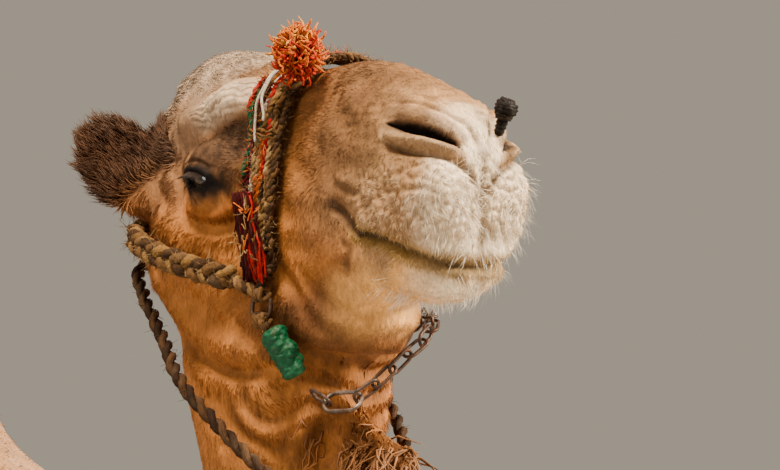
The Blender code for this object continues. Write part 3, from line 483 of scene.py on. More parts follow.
def face_relief(P, h):
    """The brow and its wrinkles, the hollow behind the eye, the bag under it, cheek and jaw."""
    x, y, _ = h.T
    flat = h[:, [0, 2]]
    lateral = smooth(y, 0.018, 0.035) * head_share(P)
    clear = fall(x, 0.020, 0.048)                            # of the noseband
    above, ripple = brow_folds(P, h)
    push = lateral * clear * dent(flat, BROW, width=0.0135, depth=0.0085, fade=0.15)
    push -= lateral * clear * dent(flat, shifted(BROW, 0, -0.021), width=0.0105, depth=0.0065, fade=0.2)
    wrinkles = lateral * clear * 0.0008 * ripple * smooth(above, -0.012, -0.005)
    push += wrinkles * fall(above, 0.012, 0.020) * smooth(x, -0.055, -0.02)
    push += lateral * clear * dent(flat, TEAR_BAG, width=0.0055, depth=0.0048, fade=0.15)
    push -= lateral * clear * dent(flat, shifted(TEAR_BAG, 0, -0.011), width=0.0055, depth=0.0030, fade=0.15)
    temple = [(-0.105, 0.005), (-0.080, -0.005), (-0.055, 0.000)]
    push -= lateral * dent(flat, temple, width=0.020, depth=0.0035, fade=0.2)
    cheek_bone = [(-0.115, -0.055), (-0.060, -0.066), (0.0, -0.080)]
    push += lateral * dent(flat, cheek_bone, width=0.016, depth=0.0028, fade=0.2)
    cheek = smooth(y, 0.02, 0.045)
    push -= dent(flat, JAW_LINE, width=0.0080, depth=0.0075, fade=0.10) * cheek
    push += dent(flat, shifted(JAW_LINE, 0.010, 0.016), width=0.013, depth=0.0045, fade=0.12) * cheek
    push += lateral * 0.0010 * waves(P, 0.030, 12)
    return push


def body_relief(P, h):
    """Slack folds of the throat, cords of the neck, ribs and muscles."""
    X, _, Z = P.T
    throat = throat_share(h)
    push = throat * 0.0020 * throat_folds(P, h)
    neck = smooth(X, 0.45, 0.60) * (1 - head_share(P))
    push += neck * (1 - throat) * 0.0015 * waves(P, 0.055, 8, (1.0, 1.0, 0.35))
    trunk = fall(X, 0.30, 0.50) * smooth(Z, 0.95, 1.15)
    push += trunk * 0.0035 * waves(P, 0.20, 9)
    flank = trunk * smooth(Z, 1.12, 1.32) * fall(Z, 1.50, 1.68)
    flank = flank * smooth(X, -0.42, -0.25) * fall(X, -0.10, 0.08)
    ribs = X + RIB_SLANT * (Z - 1.3) + 0.01 * waves(P, 0.1, 11)
    push += flank * 0.0013 * np.sin(TURN * ribs / RIB_PITCH)
    legs = fall(Z, 0.85, 1.05) * smooth(Z, 0.10, 0.20)
    push += legs * 0.0012 * waves(P, 0.035, 10, (1.0, 1.0, 0.4))
    return push


def slit_width(along):
    """A slit's width by how far along it a place is: 1 in its middle, 0 at its ends."""
    return np.clip(1 - (2 * along - 1) ** 2, 0, 1)


def open_nostrils(mesh, h, N):
    """Presses the slits in, deepest along their middle."""
    d, along = from_path(h, laid["nostril"])
    middle = slit_width(along)
    hole = fall(d, 0.0016 * middle, 0.0052 * middle + 0.0004)
    put(mesh, places(mesh) - (NOSTRIL_DEPTH * middle * hole)[:, None] * N)


OPENING_MIDDLE, OPENING_HALF = 0.001, 0.0172     # of the gap between the lids, along it
UPPER_ARCH, UPPER_DROP, LOWER_ARCH = 0.0042, 0.0020, 0.0090


def lid_edges(across):
    """Heights of the upper and the lower lid's edge along the opening."""
    reach = np.clip(1 - ((across - OPENING_MIDDLE) / OPENING_HALF) ** 2, 0, None) ** 0.7
    return UPPER_ARCH * reach - UPPER_DROP, -LOWER_ARCH * reach


def lid_dome(r):
    """How far the closed lids stand off the middle of the eyeball."""
    return 0.0234 - r ** 2 / 0.100


def sculpt_lids(mesh):
    """Heavy half-closed lids, wrapped on the eyeball, round a narrow opening that shows it."""
    P = places(mesh)
    x, y, z = P[:, 0] - EYE[0], np.abs(P[:, 1]) - EYE[1], P[:, 2] - EYE[2]
    across = x * math.cos(LID_TILT) - z * math.sin(LID_TILT)
    up = x * math.sin(LID_TILT) + z * math.cos(LID_TILT)
    r = np.hypot(across, up)
    ball = np.sqrt(np.clip(EYE_RADIUS ** 2 - r ** 2, 0, None))
    top, bottom = lid_edges(across)
    lid = lid_dome(r) + 0.0012 * smooth(up - (top + bottom) / 2, -0.002, 0.002)
    folds = [(top, 0.0035, 0.0022, 0.0012), (top, 0.0095, 0.0020, -0.0022),
             (bottom, -0.0022, 0.0016, 0.0010), (bottom, -0.0070, 0.0020, -0.0018)]
    for edge, offset, width, height in folds:
        lid = lid + height * bell(up - edge - offset, width)
    covered = blend(y, lid, fall(r, 0.015, 0.034))
    inside = np.minimum(top - up, up - bottom)               # above 0 in the opening
    target = blend(covered, ball - 0.0045, smooth(inside, -0.0005, 0.0007))
    near = (r < 0.036) & (y > -0.012)
    P[near, 1] = (np.where(P[:, 1] < 0, -1.0, 1.0) * (EYE[1] + target))[near]
    put(mesh, P)


# ---------------------------------------------------------------- the skin


def opened_out(P, reach, grow):
    """Moves places away from the head, so that an even remesh is finer there; grow=False puts them back."""
    away = P - HEAD
    r = np.maximum(np.linalg.norm(away, axis=1), 1e-9)
    if grow:
        wanted = np.where(r < reach, 2 * r, r + reach)
    else:
        wanted = np.where(r < 2 * reach, r / 2, r - reach)
    return HEAD + away * (wanted / r)[:, None]


def flesh_mesh():
    """All the flesh nodes in one mesh, each a hair larger, so that the cuts between them close.

    The eyes are with them, to fill their sockets: the lids are sculpted over them afterwards.
    """
    whole = bmesh.new()
    for name in [*FLESH, "eye_left", "eye_right"]:
        part = bmesh.new()
        part.from_mesh(NODES[name].data)
        bmesh.ops.remove_doubles(part, verts=part.verts, dist=1e-5)
        bmesh.ops.subdivide_edges(part, edges=part.edges, cuts=1, use_grid_fill=True)
        part.normal_update()
        for v in part.verts:
            v.co += v.normal * SWELL
        piece = bpy.data.meshes.new("piece")
        part.to_mesh(piece)
        whole.from_mesh(piece)
        bpy.data.meshes.remove(piece)
        part.free()
    mesh = bpy.data.meshes.new("flesh")
    whole.to_mesh(mesh)
    whole.free()
    return mesh


def connected_groups(E, count):
    """For each corner of a mesh, the lowest corner that edges connect it with."""
    group = np.arange(count)
    while True:
        low = np.minimum(group[E[:, 0]], group[E[:, 1]])
        after = group.copy()
        np.minimum.at(after, E[:, 0], low)
        np.minimum.at(after, E[:, 1], low)
        after = after[after]
        if (after == group).all():
            return group
        group = after


def remeshed(mesh, voxel):
    """One closed surface round the mesh, without anything left inside it."""
    rough = in_scene(bpy.data.objects.new("rough", mesh))
    change = rough.modifiers.new("voxels", "REMESH")
    change.mode = "VOXEL"
    change.voxel_size = voxel
    evaluated = rough.evaluated_get(bpy.context.evaluated_depsgraph_get())
    out = bpy.data.meshes.new_from_object(evaluated)
    bpy.data.objects.remove(rough)
    group = connected_groups(read(out.edges, "vertices", 2, np.int32), len(out.vertices))
    inner = np.flatnonzero(group != np.bincount(group).argmax())
    edit = bmesh.new()
    edit.from_mesh(out)
    edit.verts.ensure_lookup_table()
    bmesh.ops.delete(edit, geom=[edit.verts[int(k)] for k in inner], context="VERTS")
    edit.to_mesh(out)
    edit.free()
    return out


def refine(mesh, wanted):
    """Splits the faces round the places where wanted(P) is true into four."""
    chosen = wanted(places(mesh))
    edit = bmesh.new()
    edit.from_mesh(mesh)
    edit.verts.ensure_lookup_table()
    edges = [e for e in edit.edges if chosen[e.verts[0].index] and chosen[e.verts[1].index]]
    bmesh.ops.subdivide_edges(edit, edges=edges, cuts=1, use_grid_fill=True)
    edit.to_mesh(mesh)
    edit.free()


def coat_depth(P):
    """How far inside the solids the skin lies: the solids reach to the tips of the coat."""
    X, _, Z = P.T
    head = head_share(P)
    d = np.full(len(P), 0.011)
    legs, feet = fall(Z, 0.75, 1.05), fall(Z, 0.06, 0.14)
    muzzle = smooth(head_places(P)[:, 0], 0.06, 0.14) * head
    for depth, share in ((0.005, legs), (0.0002, feet), (0.0035, head), (0.0016, muzzle)):
        d = d + (depth - d) * share
    d = d + 0.010 * in_beard(P)
    tail = fall(X, -1.07, -1.05) * fall(Z, 1.06, 1.12) * smooth(Z, 0.80, 0.85)
    return d + 0.008 * tail


def front_of_head(P):
    return np.linalg.norm(P - HEAD - np.array([0.05, 0, -0.06]), axis=1) < 0.26


def fine_zone(P):
    """Round the eyes, the nostrils, the lips and the brow the skin is meshed once more."""
    h = head_places(P)
    x, y, z = h.T
    eye = np.linalg.norm(h - (EYE - HEAD), axis=1) < 0.038
    muzzle = (x > 0.150) & (z < 0.020)
    brow = (distance(h[:, [0, 2]], BROW) < 0.019) & (y > 0.025) & (z > 0.0)
    return eye | muzzle | brow


def make_skin():
    """The flesh as one surface, finer towards the head, inside the coat by its depth, with its folds."""
    mesh = flesh_mesh()
    put(mesh, opened_out(places(mesh), HEAD_REACH, True))
    mesh = remeshed(mesh, VOXEL)
    put(mesh, opened_out(places(mesh), HEAD_REACH, False))
    P = places(mesh)
    x, y, z = head_places(P).T
    ears = fall(np.abs(x + 0.135), 0.03, 0.05) * smooth(y, 0.070, 0.080) * (z > -0.07)
    near = fall(np.linalg.norm(P - HEAD, axis=1), 0.30, 0.45)
    feet = fall(P[:, 2], 0.03, 0.10)
    put(mesh, relaxed(mesh, 90, (1 - near) * (1 - feet * 0.8)))
    put(mesh, relaxed(mesh, 16, near * (1 - ears * 0.8)))
    P = places(mesh)
    put(mesh, P - coat_depth(P)[:, None] * (1 - 0.7 * ears)[:, None] * normals(mesh))
    refine(mesh, front_of_head)
    put(mesh, relaxed(mesh, 6, 1.0))
    refine(mesh, fine_zone)
    put(mesh, relaxed(mesh, 3, fine_zone(places(mesh)).astype(float)))
    lay_lines(mesh)
    calm, N = places(mesh), normals(mesh)
    h = head_places(calm)
    push = body_relief(calm, h) + face_relief(calm, h) + muzzle_relief(calm, h)
    put(mesh, calm + push[:, None] * N)
    open_nostrils(mesh, h, N)
    sculpt_lids(mesh)
    add_vectors(mesh, "calm", calm)
    put(mesh, np.clip(places(mesh), CAD_BOX[0], CAD_BOX[1]))
    shade_smooth(mesh)
    return mesh


# ---------------------------------------------------------------- markings, painted shade and painted light


COLOURS = {
    "tan": (0.320, 0.121, 0.030), "gold": (0.450, 0.162, 0.036), "pale": (0.440, 0.320, 0.230),
    "cream": (0.385, 0.208, 0.092), "umber": (0.110, 0.042, 0.014), "black": (0.014, 0.009, 0.007),
    "ear": (0.046, 0.020, 0.010), "callus": (0.110, 0.072, 0.046),
    # the body
    "sand": (0.385, 0.185, 0.070), "belly": (0.460, 0.290, 0.155), "leg": (0.440, 0.255, 0.120),
    "foot": (0.330, 0.200, 0.110), "nape": (0.290, 0.125, 0.042),
    # the head, with painted shade under the brow and in its wrinkles, and chin and lips pale partly as
    # painted sunlight
    "temple": (0.270, 0.135, 0.066), "crown": (0.260, 0.145, 0.078), "mottle": (0.130, 0.072, 0.042),
    "brow": (0.680, 0.500, 0.345), "rear brow": (0.270, 0.165, 0.100), "shaded_crease": (0.150, 0.082, 0.042),
    "socket": (0.082, 0.042, 0.021), "mottled brow shade": (0.030, 0.014, 0.007), "nose": (0.175, 0.085, 0.036),
    "chin": (0.900, 0.460, 0.140), "lip": (0.930, 0.740, 0.530),
    # the muzzle's lines, with painted shade in the grooves, along the mouth, on the flap and between the
    # lip's bumps, and painted highlight on the bumps
    "between bumps": (0.230, 0.125, 0.062), "bumps": (0.640, 0.470, 0.310),
    "mouth stain": (0.270, 0.150, 0.035), "mouth": (0.035, 0.018, 0.009), "groove": (0.075, 0.038, 0.017),
    "flap": (0.210, 0.118, 0.062), "rim": (0.360, 0.215, 0.108), "slit edge": (0.200, 0.105, 0.050),
    # round the eye
    "eye shadow": (0.085, 0.040, 0.018), "lids": (0.013, 0.0065, 0.004), "lid edge": (0.006, 0.004, 0.003),
    "tear stain": (0.300, 0.088, 0.014),
}
# Painted shade in the grooves of the muzzle: line, how dark, how far it reaches.
SHADED_GROOVES = [("corner", 0.85, 0.0070), ("corner_groove", 0.35, 0.0050), ("above", 0.40, 0.0040),
           ("under_rim", 0.62, 0.0048), ("cleft", 0.30, 0.0050), ("cheek_fold", 0.45, 0.0050)]
CALLOSITIES = [(0.215, 0.165, 0.605, 0.050), (0.215, 0.165, 0.650, 0.030), (-0.640, 0.190, 1.090, 0.050)]


class MarkingsAndPaintedLight:
    """The coat's colours at places, begun in tan, each further colour laid over a share of them; some are
    painted shade and painted light.
    """

    def __init__(self, P):
        self.P, self.sharp, self.head = P, head_places(P), head_share(P)
        self.h = self.sharp + 0.006 * np.stack([waves(P, 0.05, seed) for seed in (21, 22, 23)], 1)
        self.colours = np.tile(np.array(COLOURS["tan"]), (len(P), 1))

    def mix(self, name, share):
        share = np.clip(share, 0, 1)[:, None]
        self.colours = self.colours + (np.array(COLOURS[name]) - self.colours) * share

    def body(self):
        P, h, mix = self.P, self.h, self.mix
        X, _, Z = P.T
        body = fall(X + 0.05 * waves(P, 0.10, 34), 0.22, 0.78)
        mix("sand", 0.9 * body)
        mix("umber", 0.45 * body * smooth(Z, 1.80, 2.10))    # crest of the hump
        mix("belly", 0.7 * body * fall(Z, 1.02, 1.20))
        mix("leg", 0.7 * fall(Z, 0.80, 1.00))
        mix("foot", 0.6 * fall(Z, 0.03, 0.20))
        clouds = 0.6 * waves(P, 0.35, 24) + 0.4 * waves(P, 0.12, 25)
        mix("umber", 0.28 * smooth(clouds, 0.4, 1.4) * (1 - self.head))
        nape = smooth(X, 0.45, 0.75) * (1 - self.head)
        mix("nape", 0.40 * nape * smooth(-h[:, 0] + 0.3 * h[:, 2], -0.02, 0.12))
        mix("umber", 0.86 * in_beard(P) * (0.75 + 0.25 * waves(P, 0.03, 26)))
        throat = throat_share(h)
        mix("gold", 0.75 * zone(h, (-0.040, 0.06, -0.190), (0.090, 0.08, 0.100), 0.5))
        mix("gold", 0.55 * throat)
        # painted shade in the hollows of the throat's folds, broken up by mottle
        mix("umber", 0.54 * throat * smooth(-throat_folds(P, h) + 0.6 * waves(P, 0.03, 27), -0.1, 1.3))
        mix("umber", 0.50 * throat * smooth(waves(P, 0.016, 35, (1.0, 1.0, 0.5)), 0.0, 1.3))

    def face(self):
        P, h, head, mix = self.P, self.h, self.head, self.mix
        x, y, z = h.T
        mix("gold", 0.80 * zone(h, (-0.045, 0.08, -0.090), (0.090, 0.06, 0.085), 0.5) * head)
        mix("gold", 0.75 * zone(h, (0.105, 0.06, -0.115), (0.070, 0.07, 0.060), 0.5) * head)
        mix("temple", 0.8 * zone(h, (-0.085, 0.06, 0.010), (0.065, 0.06, 0.060), 0.5) * head)
        mix("crown", 0.9 * smooth(z, 0.020, 0.045) * fall(x, 0.00, 0.06) * head)
        mix("pale", 0.90 * smooth(z - 0.25 * x, 0.055, 0.085) * (1 - 0.4 * smooth(x, 0.03, 0.08)) * head)
        mottle = smooth(waves(P, 0.014, 28), 0.1, 1.2) * smooth(z, 0.040, 0.058) * fall(x, 0.0, 0.05)
        mix("mottle", 0.62 * mottle * head)
        ahead = self.sharp[:, 0]
        brow = distance(self.sharp[:, [0, 2]], shifted(BROW, 0, -0.002))
        lateral = smooth(y, 0.025, 0.040) * head
        rear = fall(ahead, -0.058, -0.020)
        mix("brow", 0.90 * fall(brow, 0.006, 0.021) * lateral * (1 - rear))
        mix("rear brow", 0.60 * fall(brow, 0.012, 0.034) * lateral * rear)
        above, ripple = brow_folds(P, self.sharp)
        # painted shade in the valleys of the brow's fine wrinkles
        shaded_crease = 0.60 * smooth(-ripple, 0.0, 0.9) * fall(brow, 0.010, 0.020)
        mix("shaded_crease", shaded_crease * lateral * smooth(ahead, -0.060, -0.02))
        # painted shade under the overhang of the brow, darker in mottled patches
        under = zone(h, (0.012, 0.07, 0.004), (0.058, 0.06, 0.036), 0.5) * head * fall(above, -0.026, -0.014)
        mix("socket", 0.97 * under)
        mix("mottled brow shade", 0.75 * under * smooth(waves(P, 0.011, 31), -0.3, 1.2))
        # painted shade under the jaw, ahead of its lower edge
        mix("umber", 0.95 * zone(h, (0.102, 0.06, -0.152), (0.065, 0.07, 0.036), 0.5) * head)
        nose = smooth(x, 0.085, 0.150) * head
        mix("nose", 0.92 * nose * smooth(z, -0.11, -0.05))
        mix("cream", 0.90 * smooth(x - 0.7 * z, 0.165, 0.235) * smooth(x, 0.13, 0.18) * head)
        # the chin and the front of the lips: their own pale colour, made brighter as painted sunlight on the
        # front of the muzzle
        mix("chin", 0.97 * zone(h, (0.215, 0.03, -0.135), (0.080, 0.07, 0.030), 0.4) * head)
        mix("lip", 0.90 * smooth(x - 0.45 * y - 0.25 * z, 0.226, 0.272) * head)

    def muzzle(self):
        mix, sharp = self.mix, self.sharp
        cells = lip_cells(self.P)
        # painted shade between the lip's bumps and painted highlight on them, following their relief
        mix("between bumps", 0.60 * np.clip(-cells, 0, 1))
        mix("bumps", 0.32 * np.clip(cells, 0, 1))
        gap, along = from_path(sharp, laid["mouth"])
        mix("mouth stain", 0.85 * fall(gap, 0.006, 0.013))
        # painted shade in the gap between the lips along the mouth
        mix("mouth", (0.85 - 0.45 * smooth(along, 0.2, 0.7)) * fall(gap, 0.0012, 0.0040))
        # painted shade in the muzzle's grooves and folds
        for line, dark, reach in SHADED_GROOVES:
            mix("groove", dark * fall(distance(sharp, laid[line]), reach * 0.35, reach))
        # painted shade on the fold over the nostril's slit
        mix("flap", 0.60 * fall(distance(sharp, laid["flap"]), 0.0030, 0.0075))
        mix("rim", 0.9 * fall(distance(sharp, laid["rim"]), 0.004, 0.0075))
        slit, along = from_path(sharp, laid["nostril"])
        middle = slit_width(along)
        mix("slit edge", 0.8 * fall(slit, 0.0040, 0.0070) * smooth(middle, 0.0, 0.3))
        # painted shade: the inside of the nostril's slit is black
        mix("black", fall(slit, 0.0034 * middle, 0.0052 * middle + 0.0003))

    def eye(self):
        mix = self.mix
        x, _, z = (self.sharp - (EYE - HEAD)).T
        slant = 0.14 * x
        r = np.hypot((x + 0.003) / 0.045, (z + 0.0040 + slant) / 0.0175) + 0.16 * waves(self.P, 0.010, 32)
        mix("eye shadow", 0.85 * fall(r, 0.80, 1.35) * self.head)
        mix("lids", 0.96 * fall(r, 0.50, 1.00) * self.head)
        mix("lid edge", fall(np.hypot((x - 0.001) / 0.024, (z + 0.0035 + slant) / 0.0105), 0.85, 1.15))
        lateral = smooth(self.h[:, 1], 0.025, 0.040) * self.head
        bag = distance(self.sharp[:, [0, 2]], TEAR_BAG)
        mix("tear stain", 0.80 * fall(bag, 0.003, 0.008) * lateral)

    def ends(self):
        """Ears, callosities, chest pad and the tail's tip."""
        P, mix = self.P, self.mix
        X, Y, Z = P.T
        mix("ear", 0.95 * ears_share(P))
        for x, y, z, size in CALLOSITIES:
            d = np.linalg.norm((P - np.array([x, y, z])) * np.array([1, 0, 1]), axis=1)
            near = np.abs(np.abs(Y) - y) < 0.09
            mix("callus", 0.85 * near * fall(d, size * 0.7, size) * smooth(X, x - 0.045, x - 0.010))
        mix("callus", 0.9 * zone(P, (0.105, 0, 0.960), (0.125, 0.090, 0.045), 0.2))
        mix("ear", 0.85 * (fall(X, -1.07, -1.05) * fall(Z, 1.10, 1.30) * smooth(Z, 0.75, 0.80)))


def coat_colour(P):
    """The animal's markings, with painted shade and painted light among them: the same for the skin and for
    every tuft.
    """
    coat = MarkingsAndPaintedLight(P)
    coat.body()
    coat.face()
    coat.muzzle()
    coat.eye()
    coat.ends()
    grain = 1 + 0.10 * waves(P, 0.025, 29) + 0.06 * waves(P, 0.006, 30)
    return np.clip(coat.colours * grain[:, None], 0.004, 1)


# ---------------------------------------------------------------- the lie of the coat


def lie_of_coat(P, N, swirl=0.35):
    """The way the hair points: back over the head, down the neck and legs, back and down over the trunk."""
    X, Y, Z = P.T
    x, _, z = head_places(P).T
    steps = np.diff(NECK_LINE, axis=0)
    mids = (NECK_LINE[:-1] + NECK_LINE[1:]) / 2
    near = bell(np.linalg.norm(P[:, None, [0, 2]] - mids, axis=2), 0.16) + 1e-6
    down = (near[:, :, None] * unit(steps)[None]).sum(1) / near.sum(1)[:, None]
    neck = np.stack([down[:, 0], np.zeros(len(P)), down[:, 1]], 1)
    trunk, leg = np.array([-0.80, 0.0, -0.55]), np.array([-0.12, 0.0, -1.0])
    back, cheek = np.array([-0.90, 0.0, -0.10]), np.array([-0.60, 0.0, -0.80])
    muzzle, tail = np.array([-0.30, 0.0, -0.90]), np.array([-0.15, 0.0, -1.0])
    ear = np.array([-0.25, 0.0, 0.70]) + 0.66 * np.sign(Y)[:, None] * np.array([0.0, 1.0, 0.0])
    low = smooth(-z, -0.01, 0.06)[:, None]
    front = smooth(x, 0.15, 0.24)[:, None]
    face = blend(back, cheek, low)
    face = face * (1 - front * low) + muzzle * front * low
    flow = blend(trunk, leg, fall(Z, 0.95, 1.20)[:, None])
    flow = blend(flow, neck, smooth(X, 0.28, 0.50)[:, None])
    flow = blend(flow, face, head_share(P)[:, None])
    flow = blend(flow, ear, ears_share(P)[:, None])
    on_tail = (X < -1.055) & (np.abs(Y) < 0.06) & (Z > 0.8)
    flow = np.where(on_tail[:, None], tail, flow)
    flow = flow - N * (flow * N).sum(1)[:, None]
    flow = unit(flow + 1e-6)
    angle = swirl * waves(P, 0.06, 41) + 0.5 * swirl * waves(P, 0.015, 42)
    return unit(flow * np.cos(angle)[:, None] + np.cross(N, flow) * np.sin(angle)[:, None])


# ---------------------------------------------------------------- the coat


BAKE_PATCH = 0.0015       # half the width of a tuft's patch on the bake's map


def unwrap(thing):
    """A map of the skin's own shape, which the tufts share."""
    bpy.context.view_layer.objects.active = thing
    thing.select_set(True)
    bpy.ops.object.mode_set(mode="EDIT")
    bpy.ops.mesh.select_all(action="SELECT")
    bpy.ops.uv.smart_project(angle_limit=math.radians(70), island_margin=0.001)
    bpy.ops.object.mode_set(mode="OBJECT")
    thing.select_set(False)
    thing.data.uv_layers[0].name = "OFBake"


class Ground:
    """The skin's triangles, to root tufts on."""

    def __init__(self, mesh):
        self.P, self.N, self.calm = places(mesh), normals(mesh), calm_places(mesh)
        mesh.calc_loop_triangles()
        self.corners = read(mesh.loop_triangles, "vertices", 3, np.int32)
        self.loops = read(mesh.loop_triangles, "loops", 3, np.int32)
        self.uv = read(mesh.uv_layers["OFBake"].data, "uv", 2)
        a, b, c = (self.P[self.corners[:, k]] for k in range(3))
        self.area = np.linalg.norm(np.cross(b - a, c - a), axis=1) / 2
        self.middle = self.calm[self.corners].mean(1)

    def roots(self, count, density):
        """Places, normals, map places and calm places of a number of tufts, as thick as density says."""
        weight = self.area * density(self.middle)
        chosen = RNG.choice(len(weight), size=count, p=weight / weight.sum())
        u, v = RNG.random(count), RNG.random(count)
        flip = u + v > 1
        u, v = np.where(flip, 1 - u, u), np.where(flip, 1 - v, v)
        share = np.stack([1 - u - v, u, v], 1)[:, :, None]
        corners = self.corners[chosen]
        P, N, calm = ((values[corners] * share).sum(1) for values in (self.P, self.N, self.calm))
        return P, unit(N), (self.uv[self.loops[chosen]] * share).sum(1), calm


def tuft_faces(rings):
    """The triangles of a tuft of rings of three corners and a tip."""
    faces = [(0, 2, 1)]
    for k in range(rings - 1):
        for j in range(3):
            a, b = 3 * k + j, 3 * k + (j + 1) % 3
            faces += [(a, b, b + 3), (a, b + 3, a + 3)]
    last = 3 * (rings - 1)
    return np.array(faces + [(last + j, last + (j + 1) % 3, 3 * rings) for j in range(3)])


def tuft_mesh(name, roots, N, uv, colours, lie, length, width, lift, rings=1, droop=0.0, curl=0.0, flat=0.55):
    """Closed tapering tufts: rings of three corners along a bent line, and a tip."""
    count, corners = len(roots), 3 * rings + 1
    across = unit(np.cross(N, lie))
    length, width, lift, droop, curl = (np.broadcast_to(v, (count,)).astype(float)[:, None]
                                        for v in (length, width, lift, droop, curl))
    phase = RNG.uniform(0, TURN, (count, 1))
    line = [roots - N * width * 0.5]
    for k in range(rings):
        t = (k + 0.5) / rings
        rise = lift * (1 - 0.75 * t)
        step = lie * np.cos(rise) + N * np.sin(rise)
        sway = curl * np.cos(TURN * t * 1.3 + phase)
        step = unit(step + across * sway + np.array([0, 0, -1.0]) * droop * t)
        line.append(line[-1] + step * length / rings)
    P = np.empty((count, corners, 3))
    patch = np.empty((count, corners, 2))
    along = np.empty((count, corners))
    for k in range(rings):
        taper = (1 - (k / rings) ** 1.6) * 0.5
        for j, a in enumerate(TURN * (np.arange(3) / 3 + 0.25)):
            P[:, 3 * k + j] = line[k] + width * taper * (across * math.cos(a) + flat * N * math.sin(a))
            patch[:, 3 * k + j] = BAKE_PATCH * np.array([math.cos(a), -1 + 2 * k / rings])
            along[:, 3 * k + j] = k / rings
    P[:, -1] = line[-1]
    patch[:, -1] = BAKE_PATCH * np.array([0, 1])
    along[:, -1] = 1
    faces = (tuft_faces(rings)[None] + corners * np.arange(count)[:, None, None]).reshape(-1, 3)
    mesh = built_mesh(name, P.reshape(-1, 3), [faces])
    spread = (uv[:, None] + patch).reshape(-1, 2)[faces.ravel()]
    mesh.uv_layers.new(name="OFBake").data.foreach_set("uv", flat_row(spread))
    add_numbers(mesh, "along", along.ravel())
    add_numbers(mesh, "shade", np.repeat(RNG.random(count), corners))
    add_colours(mesh, "coat", np.repeat(colours, corners, 0))
    return mesh


def finish_coat(name, mesh):
    low, high = (np.array(corner) for corner in CAD_BOX)
    put(mesh, np.clip(places(mesh), low + BOX_GAP, high - BOX_GAP))
    add_piece(name, mesh, coat_material)


def by_place(value, P):
    return value(P) if callable(value) else value


def add_coat(name, count, density, length, width, lift, rings=1, droop=0.0, curl=0.0, swirl=0.35, tint=None):
    """One piece of the coat. density, and length where it varies, are functions of place.

    Each tuft varies by chance. tint is a colour and its share, laid over the markings.
    """
    P, N, uv, calm = ground.roots(count, density)
    lie = lie_of_coat(calm, N, swirl)
    lengths = by_place(length, calm) * RNG.uniform(0.7, 1.3, count)
    widths = width * RNG.uniform(0.8, 1.2, count)
    lifts = lift * RNG.uniform(0.5, 1.5, count)
    colours = coat_colour(calm)
    if tint:
        colours = colours + (np.array(tint[:3]) - colours) * tint[3]
    curls = curl * RNG.uniform(0.3, 1.0, count)
    finish_coat(name, tuft_mesh(name, P, N, uv, colours, lie, lengths, widths, lifts, rings, droop, curls))


UPPER_LASHES, LOWER_LASHES = 150, 40


def add_lashes():
    """Long dark lashes along the edge of each upper lid, and sparse short ones below."""
    tree = surface_tree(ground.P, skin.data)
    first = read(skin.data.polygons, "loop_start", 1, np.int32)
    roots, N, uv, lie, long = [], [], [], [], []
    for sign in SIDES.values():
        for k in range(UPPER_LASHES + LOWER_LASHES):
            upper = k < UPPER_LASHES
            across = RNG.uniform(-0.0095, 0.0150)
            top, bottom = lid_edges(across)
            up = top + 0.0006 if upper else bottom - 0.0006
            x = across * math.cos(LID_TILT) + up * math.sin(LID_TILT)
            z = up * math.cos(LID_TILT) - across * math.sin(LID_TILT)
            out = lid_dome(math.hypot(x, z)) + (0.0016 if upper else 0.0004)
            root = EYE + np.array([x, out, z])
            root[1] *= sign
            roots.append(root)
            N.append(unit(np.array([0.0, sign * 0.3, 1.0])))
            lie.append(unit(np.array([0.25 + across * 22, sign * 1.0, -0.30 if upper else -0.55])))
            uv.append(ground.uv[first[tree.find_nearest(Vector(root))[2]]])
            long.append(RNG.uniform(0.010, 0.016) if upper else RNG.uniform(0.004, 0.007))
    lie, N = np.array(lie), np.array(N)
    N = unit(N - lie * (N * lie).sum(1)[:, None])
    colours = np.tile([0.020, 0.012, 0.009], (len(roots), 1))
    finish_coat("lashes", tuft_mesh("lashes", np.array(roots), N, np.array(uv), colours, lie, np.array(long),
                                    width=0.00042, lift=-0.35, rings=3, curl=0.12, flat=1.0))


# ---------------------------------------------------------------- materials


